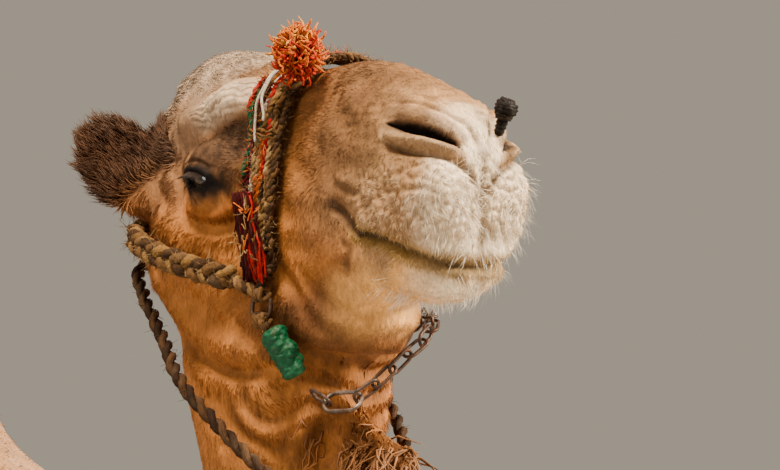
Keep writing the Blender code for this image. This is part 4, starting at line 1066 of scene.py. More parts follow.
class Paint:
    """A material with a Principled shader, and short ways to add nodes to it."""

    def __init__(self, name, roughness=0.6, **sockets):
        self.material = bpy.data.materials.new(name)
        self.material.use_nodes = True
        self.tree = self.material.node_tree
        self.shader = self.tree.nodes["Principled BSDF"]
        self.shader.inputs["Roughness"].default_value = roughness
        for socket, value in sockets.items():
            self.shader.inputs[socket.replace("_", " ")].default_value = value
        self.where = self.node("ShaderNodeTexCoord").outputs["Object"]
        self.last_bump = None

    def node(self, kind, **values):
        made = self.tree.nodes.new(kind)
        for key, value in values.items():
            setattr(made, key, value)
        return made

    def feed(self, socket, value):
        """Gives a socket a number, a colour, or another node's output."""
        if isinstance(value, tuple):
            socket.default_value = (*value, 1)
        elif isinstance(value, (int, float)):
            socket.default_value = value
        else:
            self.tree.links.new(value, socket)

    def noise(self, scale, detail=3.0, stretch=None, rough=0.55, distort=0.0):
        made = self.node("ShaderNodeTexNoise")
        values = {"Scale": scale, "Detail": detail, "Roughness": rough, "Distortion": distort}
        for socket, value in values.items():
            made.inputs[socket].default_value = value
        place = self.where
        if stretch:
            mapping = self.node("ShaderNodeMapping")
            mapping.inputs["Scale"].default_value = stretch
            self.feed(mapping.inputs["Vector"], place)
            place = mapping.outputs["Vector"]
        self.feed(made.inputs["Vector"], place)
        return made.outputs["Fac"]

    def read(self, name, output="Color"):
        return self.node("ShaderNodeAttribute", attribute_name=name).outputs[output]

    def spread(self, value, low, high, to_low=0.0, to_high=1.0):
        made = self.node("ShaderNodeMapRange")
        for socket, v in zip(("From Min", "From Max", "To Min", "To Max"), (low, high, to_low, to_high)):
            made.inputs[socket].default_value = v
        self.feed(made.inputs["Value"], value)
        return made.outputs["Result"]

    def maths(self, operation, a, b):
        made = self.node("ShaderNodeMath", operation=operation)
        for socket, value in zip(made.inputs, (a, b)):
            self.feed(socket, value)
        return made.outputs[0]

    def mix(self, a, b, share, how="MIX"):
        made = self.node("ShaderNodeMix", data_type="RGBA", blend_type=how)
        for socket, value in ((made.inputs[6], a), (made.inputs[7], b), (made.inputs[0], share)):
            self.feed(socket, value)
        return made.outputs[2]

    def brighten(self, colour, value, *spread):
        """The colour times a value that varies over the surface, spread as given."""
        value = self.spread(value, *spread)
        grey = self.node("ShaderNodeCombineColor")
        for socket in grey.inputs:
            self.feed(socket, value)
        return self.mix(colour, grey.outputs[0], 1.0, "MULTIPLY")

    def bump(self, height, distance, strength=1.0):
        made = self.node("ShaderNodeBump")
        made.inputs["Distance"].default_value = distance
        made.inputs["Strength"].default_value = strength
        self.feed(made.inputs["Height"], height)
        if self.last_bump:
            self.feed(made.inputs["Normal"], self.last_bump)
        self.last_bump = made.outputs["Normal"]

    def finish(self, colour, roughness, *bumps):
        """The material, with each bump's height, distance and strength on top of the last."""
        self.feed(self.shader.inputs["Base Color"], colour)
        if roughness:
            self.feed(self.shader.inputs["Roughness"], roughness)
        for bump in bumps:
            self.bump(*bump)
        self.feed(self.shader.inputs["Normal"], self.last_bump)
        return self.material


def make_skin_material():
    """Short hair lying flat: fine streaks along the body, over soft folds."""
    paint = Paint("skin", 0.7, Specular_IOR_Level=0.12)
    streak = paint.noise(420, 3, (1.0, 1.0, 0.30), 0.6, 0.6)
    fine = paint.noise(1100, 2, (1.0, 1.0, 0.45))
    combed = paint.noise(190, 3, (0.35, 1.0, 0.50), 0.6, 0.5)
    patchy = paint.noise(55, 4)
    colour = paint.brighten(paint.read("coat"), streak, 0.25, 0.75, 0.66, 1.16)
    colour = paint.brighten(colour, patchy, 0.3, 0.7, 0.86, 1.10)
    colour = paint.brighten(colour, combed, 0.3, 0.7, 0.80, 1.08)
    return paint.finish(colour, paint.spread(fine, 0.3, 0.7, 0.58, 0.80), (combed, 0.0022, 0.5),
                        (patchy, 0.0020, 0.4), (streak, 0.0012, 0.7), (fine, 0.0005, 0.6))


def make_coat_material():
    """Hair: darker at the root, paler at the tip, every tuft a little unlike the next."""
    paint = Paint("coat", 0.55, Specular_IOR_Level=0.20)
    colour = paint.brighten(paint.read("coat"), paint.read("shade", "Fac"), 0, 1, 0.80, 1.22)
    colour = paint.brighten(colour, paint.read("along", "Fac"), 0, 1, 0.90, 1.14)
    sunned = paint.spread(paint.noise(35, 3), 0.35, 0.75, 0.0, 0.35)
    colour = paint.mix(colour, (1.0, 0.80, 0.55), sunned, "MULTIPLY")
    fine = paint.noise(1500, 2)
    return paint.finish(colour, paint.spread(fine, 0.3, 0.7, 0.45, 0.65), (fine, 0.0002, 0.5))


# ---------------------------------------------------------------- skin and coat


skin_mesh = make_skin()
add_colours(skin_mesh, "coat", coat_colour(calm_places(skin_mesh)))
skin = add_piece("skin", skin_mesh, make_skin_material(), FLESH)
unwrap(skin)
ground = Ground(skin.data)
coat_material = make_coat_material()


def clear_of_holes(P):
    """1 on open coat; 0 in the eye, the nostril and the mouth, and on the soles."""
    h = head_places(P)
    x, _, z = (h - (EYE - HEAD)).T
    eye = smooth(np.hypot(x - 0.003, 1.7 * (z + 0.0035)), 0.0140, 0.0175)
    nostril = smooth(distance(h, laid["nostril"]), 0.0045, 0.0065)
    mouth = smooth(distance(h, laid["mouth"]), 0.0025, 0.0050)
    return eye * nostril * mouth * smooth(P[:, 2], *SOLES)


def on_head(P):
    return (head_share(P) > 0.5).astype(float)


def in_muzzle(P):
    x, _, z = head_places(P).T
    return on_head(P) * smooth(x - 0.35 * z, 0.125, 0.165)


def ahead_of_crown(P):
    return smooth(head_places(P)[:, 0], -0.09, -0.05)


def in_face(P):
    return on_head(P) * (1 - in_muzzle(P)) * ahead_of_crown(P) * (1 - ears_share(P))


def in_crown(P):
    return on_head(P) * (1 - ahead_of_crown(P)) * (1 - ears_share(P))


def in_upper_neck(P):
    return (1 - on_head(P)) * smooth(P[:, 2], *MID_NECK) * (P[:, 0] > 0.6)


def in_lower_neck(P):
    return fall(P[:, 2], *MID_NECK) * smooth(P[:, 0], *SHOULDER)


def in_trunk(P):
    return fall(P[:, 0], *SHOULDER) * smooth(P[:, 2], *LEG_TOP)


def in_legs(P):
    return fall(P[:, 2], *LEG_TOP) * (np.abs(P[:, 1]) > 0.05)


def in_tail(P):
    X, Y, Z = P.T
    return (X < -1.055) * (np.abs(Y) < 0.07) * smooth(Z, 0.86, 0.90) * fall(Z, 1.08, 1.14)


def on_poll(P):
    return zone(head_places(P), (-0.125, 0.0, 0.045), (0.060, 0.055, 0.050), 0.4) * (1 - ears_share(P))


def on_hump(P):
    return zone(P, (-0.265, 0.0, 2.060), (0.260, 0.160, 0.150), 0.3)


def on_shoulder(P):
    return zone(P, (0.330, 0.0, 1.600), (0.170, 0.300, 0.230), 0.4)


def trunk_length(P):
    return 0.030 + 0.020 * on_hump(P) + 0.014 * on_shoulder(P)


def face_length(P):
    """Shorter round the eyes and over the brow."""
    h = head_places(P)
    eye = fall(np.linalg.norm(h - (EYE - HEAD) - np.array([0, 0.015, 0]), axis=1), 0.025, 0.045)
    brow = fall(distance(h[:, [0, 2]], BROW), 0.014, 0.028) * (h[:, 1] > 0.015)
    return 0.0085 - 0.0050 * np.maximum(eye, brow)


def beard_share(P):
    return in_beard(P) * smooth(-head_places(P)[:, 2], 0.222, 0.250)


def long_coat(P):
    """Longer hair on the crest of the hump and on the shoulders."""
    return (on_hump(P) + 0.45 * on_shoulder(P)) * in_trunk(P)


def on_lip_edge(P):
    """The front of the lips and the chin, where the whiskers stand."""
    x, _, z = head_places(P).T
    front = smooth(x, 0.245, 0.262) * smooth(-z, 0.02, 0.05)
    chin = smooth(-z, 0.112, 0.128)
    return on_head(P) * (x > 0.17) * np.maximum(front, chin) * clear_of_holes(P)


def on_lips(P):
    x, _, z = head_places(P).T
    return on_head(P) * smooth(x, 0.165, 0.190) * smooth(-z, 0.035, 0.055) * clear_of_holes(P)


add_coat("coat_muzzle", 41000, lambda P: in_muzzle(P) * clear_of_holes(P),
         length=0.0042, width=0.00070, lift=0.22, swirl=0.5)
add_coat("coat_face", 45000, lambda P: in_face(P) * clear_of_holes(P),
         length=face_length, width=0.0009, lift=0.16)
add_coat("coat_crown", 28000, in_crown, length=0.0095, width=0.0011, lift=0.16)
add_coat("coat_ears", 11200, ears_share,
         length=0.016, width=0.0015, lift=0.60, rings=2, curl=0.3, swirl=0.6)
add_coat("coat_neck_upper", 40000, in_upper_neck, length=0.0098, width=0.0012, lift=0.14)
add_coat("coat_neck_lower", 28000, in_lower_neck, length=0.024, width=0.0028, lift=0.14)
add_coat("coat_trunk", 38000, in_trunk, length=0.027, width=0.0038, lift=0.11, swirl=0.25)
add_coat("coat_hump", 5500, long_coat, length=trunk_length, width=0.0034, lift=0.22, rings=2, curl=0.35)
add_coat("coat_legs", 31000, lambda P: in_legs(P) * smooth(P[:, 2], *SOLES),
         length=0.013, width=0.0023, lift=0.10)
add_coat("beard", 2700, beard_share,
         length=0.046, width=0.0036, lift=0.85, rings=5, droop=0.60, curl=1.5, swirl=0.9,
         tint=(0.150, 0.080, 0.040, 0.45))
add_coat("tail_locks", 1000, in_tail,
         length=0.070, width=0.0040, lift=0.25, rings=6, droop=0.30, curl=0.30, swirl=0.2)
add_coat("poll_hair", 1200, on_poll, length=0.013, width=0.0013, lift=0.30, rings=2, curl=0.4, swirl=0.5)
add_coat("lip_whiskers", 620, on_lip_edge,
         length=0.015, width=0.00040, lift=1.00, rings=2, droop=0.2, curl=0.2, swirl=0.9,
         tint=(0.80, 0.74, 0.64, 0.95))
add_coat("lip_fuzz", 3200, on_lips,
         length=0.0060, width=0.00042, lift=0.80, droop=0.1, curl=0.4, swirl=0.9,
         tint=(0.72, 0.56, 0.38, 0.55))
add_lashes()


# ---------------------------------------------------------------- lines and tubes


FIBRE_TAPER = np.array([1.1, 0.9, 0.3])
FIBRE_STEPS = np.linspace(0, 1, 3)[:, None]


def welded(name):
    """A CAD node's places and edges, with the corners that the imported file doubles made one."""
    edit = bmesh.new()
    edit.from_mesh(NODES[name].data)
    bmesh.ops.remove_doubles(edit, verts=edit.verts, dist=1e-5)
    P = np.array([v.co for v in edit.verts])
    E = np.array([[v.index for v in e.verts] for e in edit.edges])
    edit.free()
    return P, E


def top_and_foot(P, reach=0.006, foot_reach=None):
    """The middles of a node's highest and lowest places."""
    Z = P[:, 2]
    return P[Z > Z.max() - reach].mean(0), P[Z < Z.min() + (foot_reach or reach)].mean(0)


def rope_line(name, upward, middle, count=120):
    """The middle line of a CAD rope or band that runs round an axis: cut by half planes turned about it."""
    P, E = welded(name)
    upward = unit(np.array(upward, float))
    leftward = np.array([0.0, 1.0, 0.0])
    found = []
    for angle in np.linspace(-math.pi, math.pi, count):
        ray = upward * math.cos(angle) + leftward * math.sin(angle)
        turn = leftward * math.cos(angle) - upward * math.sin(angle)
        s, r = (P - middle) @ turn, (P - middle) @ ray
        a, b = E[:, 0], E[:, 1]
        cut = (s[a] * s[b] < 0) & (r[a] + r[b] > 0)
        if cut.sum() < 4:
            continue
        t = (s[a] / (s[a] - s[b] + 1e-12))[cut][:, None]
        found.append((P[a[cut]] * (1 - t) + P[b[cut]] * t).mean(0))
    return np.array(found)


def frames(line, out):
    """Unit vectors along a line, out from what it lies on, and across."""
    T = unit(np.gradient(line, axis=0))
    O = unit(out - T * (out * T).sum(1)[:, None])
    return T, O, np.cross(T, O)


def ring_points(line, radius, sides, O, B, flat=1.0):
    """Rings of points round a line; flat squeezes them outwards."""
    a = TURN * np.arange(sides) / sides
    return line[:, None] + radius * (np.cos(a)[None, :, None] * B[:, None]
                                     + flat * np.sin(a)[None, :, None] * O[:, None])


class Strands:
    """Many tubes in one mesh, each with its own dye, and places as on a straightened strand."""

    def __init__(self):
        self.P, self.quads, self.caps, self.lay, self.dye = [], [], [], [], []
        self.count = 0

    def add(self, line, radius, dye, sides=6, flat=1.0, out=None):
        line = np.asarray(line, float)
        n = len(line)
        if out is None:
            start = unit(np.gradient(line, axis=0))[0]
            guess = np.array([0.3, 0.2, 1.0]) if abs(start[2]) < 0.8 else np.array([1.0, 0.3, 0.1])
            out = np.tile(guess, (n, 1))
        T, O, B = frames(line, out)
        radius = np.broadcast_to(radius, (n,))
        a = TURN * np.arange(sides) / sides
        s = lengths_along(line)
        P = ring_points(line, radius[:, None, None], sides, O, B, flat)
        tips = np.array([line[0] - T[0] * radius[0] * 0.5, line[-1] + T[-1] * radius[-1] * 0.5])
        lay = np.stack([np.repeat(s, sides), np.outer(radius, np.cos(a)).ravel(),
                        np.outer(radius, np.sin(a)).ravel()], 1)
        lay[:, 1:] += self.count * 1e-4
        dye = np.broadcast_to(dye, (n, 3))
        quads, caps = tube_faces(n, sides)
        self.quads.append(quads + self.count)
        self.caps.append(caps + self.count)
        self.P += [P.reshape(-1, 3), tips]
        self.lay += [lay, np.array([[0, 0, 0], [s[-1], 0, 0]])]
        self.dye += [np.repeat(dye, sides, 0), dye[[0, -1]]]
        self.count += n * sides + 2

    def finish(self, name, material, slot, *nodes):
        faces = [np.concatenate(self.quads), np.concatenate(self.caps)]
        mesh = built_mesh(name, np.concatenate(self.P), faces)
        add_vectors(mesh, "lay", np.concatenate(self.lay))
        add_colours(mesh, "dye", np.concatenate(self.dye))
        add_piece(name, mesh, material, nodes)

    def fuzz(self, line, reach, count, length, dyes, thick=0.00022):
        """Stray fibres standing off a rope."""
        line = np.asarray(line)
        for _ in range(count):
            at = line[RNG.integers(1, len(line) - 1)]
            away = unit(RNG.normal(size=3))
            bend = unit(RNG.normal(size=3))
            start = at + away * reach * RNG.uniform(0.6, 1.0)
            long = length * RNG.uniform(0.4, 1.2)
            path = start + long * (FIBRE_STEPS * away * 0.7 + FIBRE_STEPS * FIBRE_STEPS * bend * 0.6)
            self.add(path, thick * FIBRE_TAPER, dyes[RNG.integers(len(dyes))], 3)


def twisted(strands, line, out, radius, pitch, dyes, plies=2, sides=7, rough=0.12):
    """A rope of a few plies laid round each other."""
    _, O, B = frames(line, out)
    s = lengths_along(line)
    for k in range(plies):
        turn = TURN * (s / pitch + k / plies)
        lump = 1 + rough * np.sin(s * 900 + 5 * k) * np.sin(s * 370 + k)
        offset = 0.46 * radius * (np.cos(turn)[:, None] * O + np.sin(turn)[:, None] * B)
        strands.add(line + offset, radius * 0.54 * lump, dyes[k % len(dyes)], sides, out=O)


def braided(strands, line, out, half_width, half_thick, pitch, dyes, plies=3, sides=7, rough=0.18):
    """A flat braid: each strand swings across and passes over and under the others."""
    _, O, B = frames(line, out)
    s = lengths_along(line)
    for k in range(plies):
        turn = TURN * (s / pitch + k / plies)
        lump = 1 + rough * np.sin(s * 700 + 3 * k) * np.sin(s * 260 + k)
        swing = 0.58 * half_width * np.cos(turn)[:, None] * B
        offset = swing + 0.45 * half_thick * np.sin(2 * turn)[:, None] * O
        strands.add(line + offset, half_thick * 0.56 * lump, dyes[k % len(dyes)], sides, out=O)


def make_yarn_material(name, roughness, fibre=2200.0, depth=0.0006, contrast=0.45):
    """Wool or hair fibres running along each strand."""
    paint = Paint(name, roughness, Specular_IOR_Level=0.12)
    paint.where = paint.read("lay", "Vector")
    fibres = paint.noise(fibre, 3, (0.12, 1.0, 1.0), 0.6, 0.8)
    lumps = paint.noise(160, 3, (1.0, 1.0, 1.0))
    dirt = paint.noise(38, 4)
    colour = paint.brighten(paint.read("dye"), fibres, 0.3, 0.7, 1 - contrast, 1 + 0.6 * contrast)
    colour = paint.brighten(colour, lumps, 0.3, 0.7, 0.75, 1.12)
    colour = paint.mix(colour, (0.16, 0.10, 0.055), paint.spread(dirt, 0.52, 0.72, 0.0, 0.40))
    return paint.finish(colour, paint.spread(lumps, 0.2, 0.8, roughness - 0.08, roughness + 0.08),
                        (lumps, 0.0010, 0.5), (fibres, depth, 0.9))


def make_iron_material(name, rust, bright):
    """Iron, worn bright where it rubs and rusty in its pits."""
    paint = Paint(name, 0.50, Metallic=0.70)
    pits = paint.noise(330, 4, None, 0.65)
    broad = paint.noise(90, 4, None, 0.6)
    fine = paint.noise(1600, 2)
    colour = paint.mix(bright, (0.045, 0.032, 0.026), paint.spread(broad, 0.35, 0.60))
    colour = paint.mix(colour, rust, paint.spread(pits, 0.46, 0.62, 0.0, 0.85))
    return paint.finish(colour, paint.spread(pits, 0.40, 0.65, 0.34, 0.78),
                        (broad, 0.0006, 0.5), (pits, 0.0005, 0.8), (fine, 0.0001, 0.5))


# ---------------------------------------------------------------- the halter


DARK_HAIR = [(0.026, 0.012, 0.006), (0.066, 0.031, 0.013)]
HAY = [(0.250, 0.128, 0.038), (0.046, 0.022, 0.009), (0.140, 0.068, 0.023)]
MAROON = (0.050, 0.0025, 0.0035)
RED = (0.420, 0.010, 0.006)
GREEN = (0.008, 0.100, 0.045)
PURPLE = (0.150, 0.028, 0.050)
BEIGE = (0.360, 0.225, 0.095)
ORANGE = (0.700, 0.150, 0.014)
WHITE = (0.620, 0.540, 0.430)

# Each cord's middle, from that of the head, and the way up from it, about which its line runs.
AXES = {
    "neck_rope": ((-0.010, 0, -0.199), (-0.788, 0, 0.615)),
    "cheek_rope": ((-0.050, 0, -0.086), (-0.965, 0, 0.261)),
    "headpiece": ((-0.150, 0, 0.0), (0, 0, 1)),
    "noseband_rope": ((0.075, 0, -0.030), (0.10, 0, 1)),
    "noseband": ((0.055, 0, -0.030), (0.10, 0, 1)),
}


def head_point(x, y, z):
    return HEAD + np.array([x, y, z])


def outward(line, middle):
    return unit(line - middle)


def cord_line(name):
    """A cord's line as its solid gives it."""
    middle, upward = AXES[name]
    return rope_line(name, upward, head_point(*middle))


def cord(name, count):
    """A cord's line in even steps, and the ways out of it."""
    line = even_line(cord_line(name), count)
    return line, outward(line, head_point(*AXES[name][0]))


def make_ropes():
    """The ropes: round the neck, along the cheeks, over the head, and the front of the noseband."""
    rough = make_yarn_material("rope_hair", 0.80, 1500, 0.0009, 0.55)
    line, out = cord("neck_rope", 420)
    rope = Strands()
    twisted(rope, line, out, radius=0.0062, pitch=0.030, dyes=DARK_HAIR)
    rope.fuzz(line, reach=0.0052, count=500, length=0.008, dyes=DARK_HAIR)
    rope.finish("neck_rope_laid", rough, "dark_rope", "neck_rope")

    line, out = cord("cheek_rope", 260)
    rope = Strands()
    braided(rope, line, out, half_width=0.0110, half_thick=0.0078, pitch=0.040, dyes=HAY, rough=0.3)
    braided(rope, line, out, half_width=0.0100, half_thick=0.0070, pitch=0.034, dyes=HAY[1:], plies=2,
            rough=0.4)
    braided(rope, line, out, half_width=0.0115, half_thick=0.0050, pitch=0.027,
            dyes=[BEIGE, HAY[0], HAY[1]], sides=6, rough=0.4)
    rope.fuzz(line, reach=0.0085, count=1500, length=0.012, dyes=HAY + [BEIGE, BEIGE], thick=0.00030)
    rope.finish("cheek_rope_braided", rough, "rope", "cheek_rope")

    line, out = cord("headpiece", 160)
    rope = Strands()
    twisted(rope, line, out, radius=0.0030, pitch=0.014, dyes=DARK_HAIR, sides=6)
    rope.finish("headpiece_cord", rough, "dark_rope", "headpiece")

    line = cord("noseband_rope", 300)[0]
    rope = Strands()
    step = np.arange(300)
    sway = 0.0009 * np.sin(step * 0.23) + 0.0006 * np.sin(step * 0.61)
    line = line + sway[:, None] * np.array([1.0, 0, 0])
    out = outward(line, head_point(*AXES["noseband_rope"][0]))
    twisted(rope, line, out, radius=0.0034, pitch=0.019, dyes=[DARK_HAIR[1], HAY[2], HAY[1]], plies=3,
            sides=6, rough=0.5)
    rope.fuzz(line, reach=0.0040, count=900, length=0.008, dyes=DARK_HAIR + HAY + [BEIGE])
    rope.finish("noseband_front_rope", rough, "dark_rope", "noseband_rope")


# The noseband's yarns, from the rear one to the front one, down to each share of the way down the cheek.
BAND_DYES = [
    (0.26, [MAROON, RED, BEIGE, ORANGE, WHITE, RED, HAY[2], RED, HAY[2]]),
    (0.44, [RED, GREEN, MAROON, HAY[2], MAROON, WHITE, RED, HAY[0], HAY[2]]),
    (0.56, [GREEN, GREEN, MAROON, PURPLE, HAY[2], HAY[0], RED, HAY[0], HAY[2]]),
    (0.70, [GREEN, MAROON, PURPLE, BEIGE, BEIGE, ORANGE, RED, BEIGE, HAY[2]]),
    (0.80, [MAROON, MAROON, WHITE, BEIGE, ORANGE, ORANGE, HAY[1], BEIGE, HAY[2]]),
    (1.01, [MAROON, MAROON, MAROON, (0.25, 0.05, 0.05), BEIGE, ORANGE, BEIGE, HAY[0], BEIGE]),
]
YARNS = 9
BAND_REAR = -0.0132       # the rear yarn's place across the band
BAND_HALF_WIDTH = 0.0125  # of the hair band under the yarns
PLY_RADIUS, PLY_PITCH = 0.00155, 0.011
BINDINGS = (0.235, 0.765)  # where hair cord binds the band across, as shares of its length
BAND_FIBRES = 1000
TASSEL_HALF_WIDTH, TASSEL_HALF_THICK = 0.0165, 0.0048
TASSEL_YARNS, TASSEL_THREADS = 300, 16
POMPOM_YARNS, POMPOM_LOOSE = 520, 9      # every ninth yarn of the pompom stands out


def band_dye(share, yarn):
    """A yarn's dye by how far down the cheek it is, from 0 on the nose to 1."""
    out = np.empty((len(share), 3))
    low = -0.01
    for high, dyes in BAND_DYES:
        out[(share >= low) & (share < high)] = dyes[yarn]
        low = high
    return out


def make_noseband(wool):
    """Nine soft woollen yarns side by side over a hair band, bound across in places. Gives its line."""
    line, out = cord("noseband", 220)
    T, O, B = frames(line, out)
    if B[len(B) // 2, 0] < 0:
        B = -B
    s = lengths_along(line)
    share = np.abs(2 * s / s[-1] - 1)
    front = cord("noseband_rope", 300)[0]
    nearest = front[np.argmin(np.linalg.norm(front[None] - line[:, None], axis=2), axis=1)]
    limit = np.clip(((nearest - line) * B).sum(1) - 0.0045, 0.0130, 0.0320)
    limit = np.convolve(np.pad(limit, 8, "edge"), np.ones(17) / 17, "valid")
    sink = np.clip(((nearest - line) * O).sum(1), -0.006, 0.004)
    band = Strands()
    band.add(line - 0.0030 * O, radius=BAND_HALF_WIDTH, dye=(0.11, 0.065, 0.038), sides=10, flat=0.22, out=O)
    for yarn in range(YARNS):
        ahead = yarn / (YARNS - 1)
        across = BAND_REAR + (limit - BAND_REAR) * yarn / (YARNS - 1)
        sway = 0.0011 * np.sin(s * 85 + 2.1 * yarn) + 0.0006 * np.sin(s * 260 + yarn)
        lift = 0.0010 + 0.0012 * np.sin(s * 120 + 1.7 * yarn)
        dye = band_dye(share, yarn) * (1 + 0.2 * np.sin(s * 300 + yarn))[:, None]
        path = line + (across + sway)[:, None] * B + (lift + sink * ahead ** 2)[:, None] * O
        for ply in (0, math.pi):
            turn = s * 2 * math.pi / PLY_PITCH + ply + yarn
            offset = 0.0011 * (np.cos(turn)[:, None] * O + np.sin(turn)[:, None] * B)
            band.add(path + offset, PLY_RADIUS * (1 + 0.25 * np.sin(s * 500 + yarn)), dye, out=O)
    for at in BINDINGS:
        k = int(at * len(line))
        for turn in range(3):
            a = np.linspace(-0.25, math.pi + 0.25, 14)[:, None]
            wander = RNG.normal(size=3) * 0.0008
            path = line[k] + T[k] * (turn - 1.5) * 0.0021 + wander \
                + 0.0146 * np.cos(a) * B[k] + (0.0052 * np.sin(a) - 0.001) * O[k]
            path = path + 0.0012 * np.sin(a * 5 + turn) * T[k]
            band.add(path, 0.0010, [HAY[0], HAY[2], HAY[0]][turn], 6)
    dyes = [MAROON, RED, BEIGE, BEIGE, HAY[0], ORANGE, GREEN]
    for _ in range(BAND_FIBRES):
        at = RNG.integers(2, len(line) - 2)
        start = line[at] + B[at] * RNG.uniform(-0.013, 0.013) + O[at] * 0.003
        way = unit(0.8 * O[at] + RNG.normal(size=3) * 0.8)
        length = RNG.uniform(0.004, 0.011)
        bend = unit(RNG.normal(size=3))
        path = start + length * (FIBRE_STEPS * way + 0.5 * FIBRE_STEPS * FIBRE_STEPS * bend)
        band.add(path, 0.00024 * FIBRE_TAPER, dyes[RNG.integers(len(dyes))], 3)
    band.finish("noseband_wool", wool, "red_wool", "noseband")
    return line


def make_tassels(wool):
    """Maroon tassels with red tips and a few loose pale threads, beside the noseband."""
    for side, sign in SIDES.items():
        tassel = Strands()
        P, _ = welded(f"tassel_{side}")
        top, foot = top_and_foot(P)
        for k in range(TASSEL_YARNS):
            a, r = RNG.uniform(0, TURN), math.sqrt(RNG.random())
            spread = np.array([TASSEL_HALF_WIDTH * r * math.cos(a), TASSEL_HALF_THICK * r * math.sin(a), 0])
            ahead = 0.5 + 0.5 * r * math.cos(a)
            length = RNG.uniform(0.75, 1.04)
            t = np.linspace(0, 1, 7)[:, None]
            curl = RNG.normal(size=3) * np.array([0.0024, 0.0014, 0.0006])
            path = top + (foot - top) * t * length + spread * (0.75 + 0.25 * t) \
                + curl * np.sin(t * RNG.uniform(6, 12) + k) + np.array([0, sign * 0.001, 0])
            red = MAROON if RNG.random() > 0.12 else RED
            tip = RED if ahead > 0.55 and RNG.random() < 0.75 else MAROON
            dye = np.array(red) * (1 - (t > 0.72)) + np.array(tip) * (t > 0.72)
            tassel.add(path, 0.00088 * RNG.uniform(0.7, 1.3), dye * RNG.uniform(0.6, 1.35), 4)
        for k in range(TASSEL_THREADS):
            start = top + RNG.normal(size=3) * np.array([0.008, 0.001, 0.014]) + np.array([0.010, 0, -0.022])
            t = np.linspace(0, 1, 8)[:, None]
            way = unit(RNG.normal(size=3) * np.array([1, 0.3, 1]))
            path = start + 0.010 * t * way + 0.006 * np.sin(t * 8) * unit(RNG.normal(size=3))
            path[:, 1] = np.where(sign > 0, np.maximum(path[:, 1], P[:, 1].max() - 0.008),
                                  np.minimum(path[:, 1], P[:, 1].min() + 0.008))
            tassel.add(path, 0.00050, [BEIGE, HAY[0], ORANGE, HAY[2]][k % 4], 5)
        tassel.finish(f"tassel_{side}_yarn", wool, "red_wool", f"tassel_{side}")


def make_pompom(wool, band_line):
    """The tuft of orange and red wool on top, with two white cords from it down beside the noseband."""
    pompom = Strands()
    _, _, middle, half = node_box("pompom")
    thick = 0.00118 * np.array([1, 1, 1.05, 1.1, 1.0, 0.8, 0.35])
    for k in range(POMPOM_YARNS):
        loose = k % POMPOM_LOOSE == 0
        way = unit(RNG.normal(size=3))
        turn = unit(RNG.normal(size=3) + np.array([0, 0, -0.4]))
        long = RNG.uniform(1.15, 1.35) if loose else RNG.uniform(0.90, 1.0)
        t = np.linspace(0.25, 1, 7)[:, None]
        path = middle + half * (way * t * long + 0.45 * turn * np.sin((t - 0.25) * RNG.uniform(3.0, 6.0)) * t)
        reach = np.linalg.norm((path - middle) / half, axis=1)[:, None]
        path = middle + (path - middle) / np.maximum(reach, 1) * (np.minimum(reach, 1.3) if loose else 1.0)
        warm = RNG.random() + 0.45 * way[2]
        dye = ORANGE if warm > 0.35 else (0.580, 0.032, 0.008)
        if warm > 0.95:
            dye = (0.800, 0.320, 0.050)
        # each yarn darker towards the middle of the tuft: painted shade inside it
        pompom.add(path, thick, np.array(dye) * (0.30 + 0.62 * t), 4)
    right = band_line[::-1] if band_line[0, 1] > 0 else band_line
    near = np.argmin(np.linalg.norm(right - middle, axis=1))
    t = np.linspace(0, 1, 30)[:, None]
    for k, lean in enumerate((-0.35, 0.10)):
        path = even_line(right[max(near - 34 + 8 * k, 0):near + 1][::-1], 30)
        away = outward(path, head_point(0.055, 0, -0.03))
        path = path + away * 0.0062 + np.array([0.004 + 0.010 * lean, 0, 0]) * (1 + t) \
            + 0.002 * np.sin(t * 7 + k) * np.array([1, 0, 0])
        path[0] = middle - np.array([0, 0, half[2] * 0.6])
        pompom.add(path, 0.00115, WHITE, 6)
    pompom.finish("pompom_yarn", wool, "orange_wool", "pompom")


def make_knots():
    """Short hairy ropes that tie the noseband and the cheek rope to the iron links under the cheeks."""
    rough = make_yarn_material("knot_hair", 0.80, 1500, 0.0009, 0.55)
    cheek, front = cord_line("cheek_rope"), cord_line("noseband_rope")
    for side, sign in SIDES.items():
        low, high, middle, _ = node_box(f"link_{side}")
        top = np.array([middle[0], middle[1] + sign * 0.001, high[2] - 0.002])
        foot = np.array([middle[0], middle[1], low[2] + 0.002])
        outwards = np.array([0.0, sign, 0.0])
        knot = Strands()
        for line, thick, dyes in ((cheek, 0.0052, HAY), (front, 0.0044, DARK_HAIR)):
            end = line[np.argmin(np.linalg.norm(line - top, axis=1))]
            bow = (end + top) / 2 + outwards * 0.0045
            path = even_line([end, bow, top], 26)
            out = np.tile(outwards, (len(path), 1))
            twisted(knot, path, out, thick, pitch=0.016, dyes=dyes, plies=3, rough=0.35)
            knot.fuzz(path, reach=thick, count=90, length=0.008, dyes=dyes)
        taped = f"wrap_{side}" in NODES
        for at in (top, foot) if taped else (top,):
            turn = np.linspace(0, 5 * TURN, 90)
            ahead = (turn / turn[-1] - 0.5) * 0.013
            coil = np.stack([ahead, 0.0040 * np.cos(turn), 0.0046 * np.sin(turn)], 1)
            coil += 0.0007 * np.sin(turn * 2.3)[:, None]
            knot.add(at + coil, 0.0021, HAY[2], 7)
            knot.add(at + coil[:, [2, 1, 0]] * 0.8, 0.0016, HAY[1], 7)
        if taped:
            end = top_and_foot(welded(f"wrap_{side}")[0])[0]
            path = even_line([foot, (foot + end) / 2 + outwards * 0.002, end - [0, 0, 0.006]], 20)
            out = np.tile(outwards, (len(path), 1))
            twisted(knot, path, out, radius=0.0048, pitch=0.016, dyes=HAY[1:], rough=0.3)
            knot.fuzz(path, reach=0.0045, count=70, length=0.007, dyes=HAY)
        knot.finish(f"knot_{side}", rough, "dark_rope")


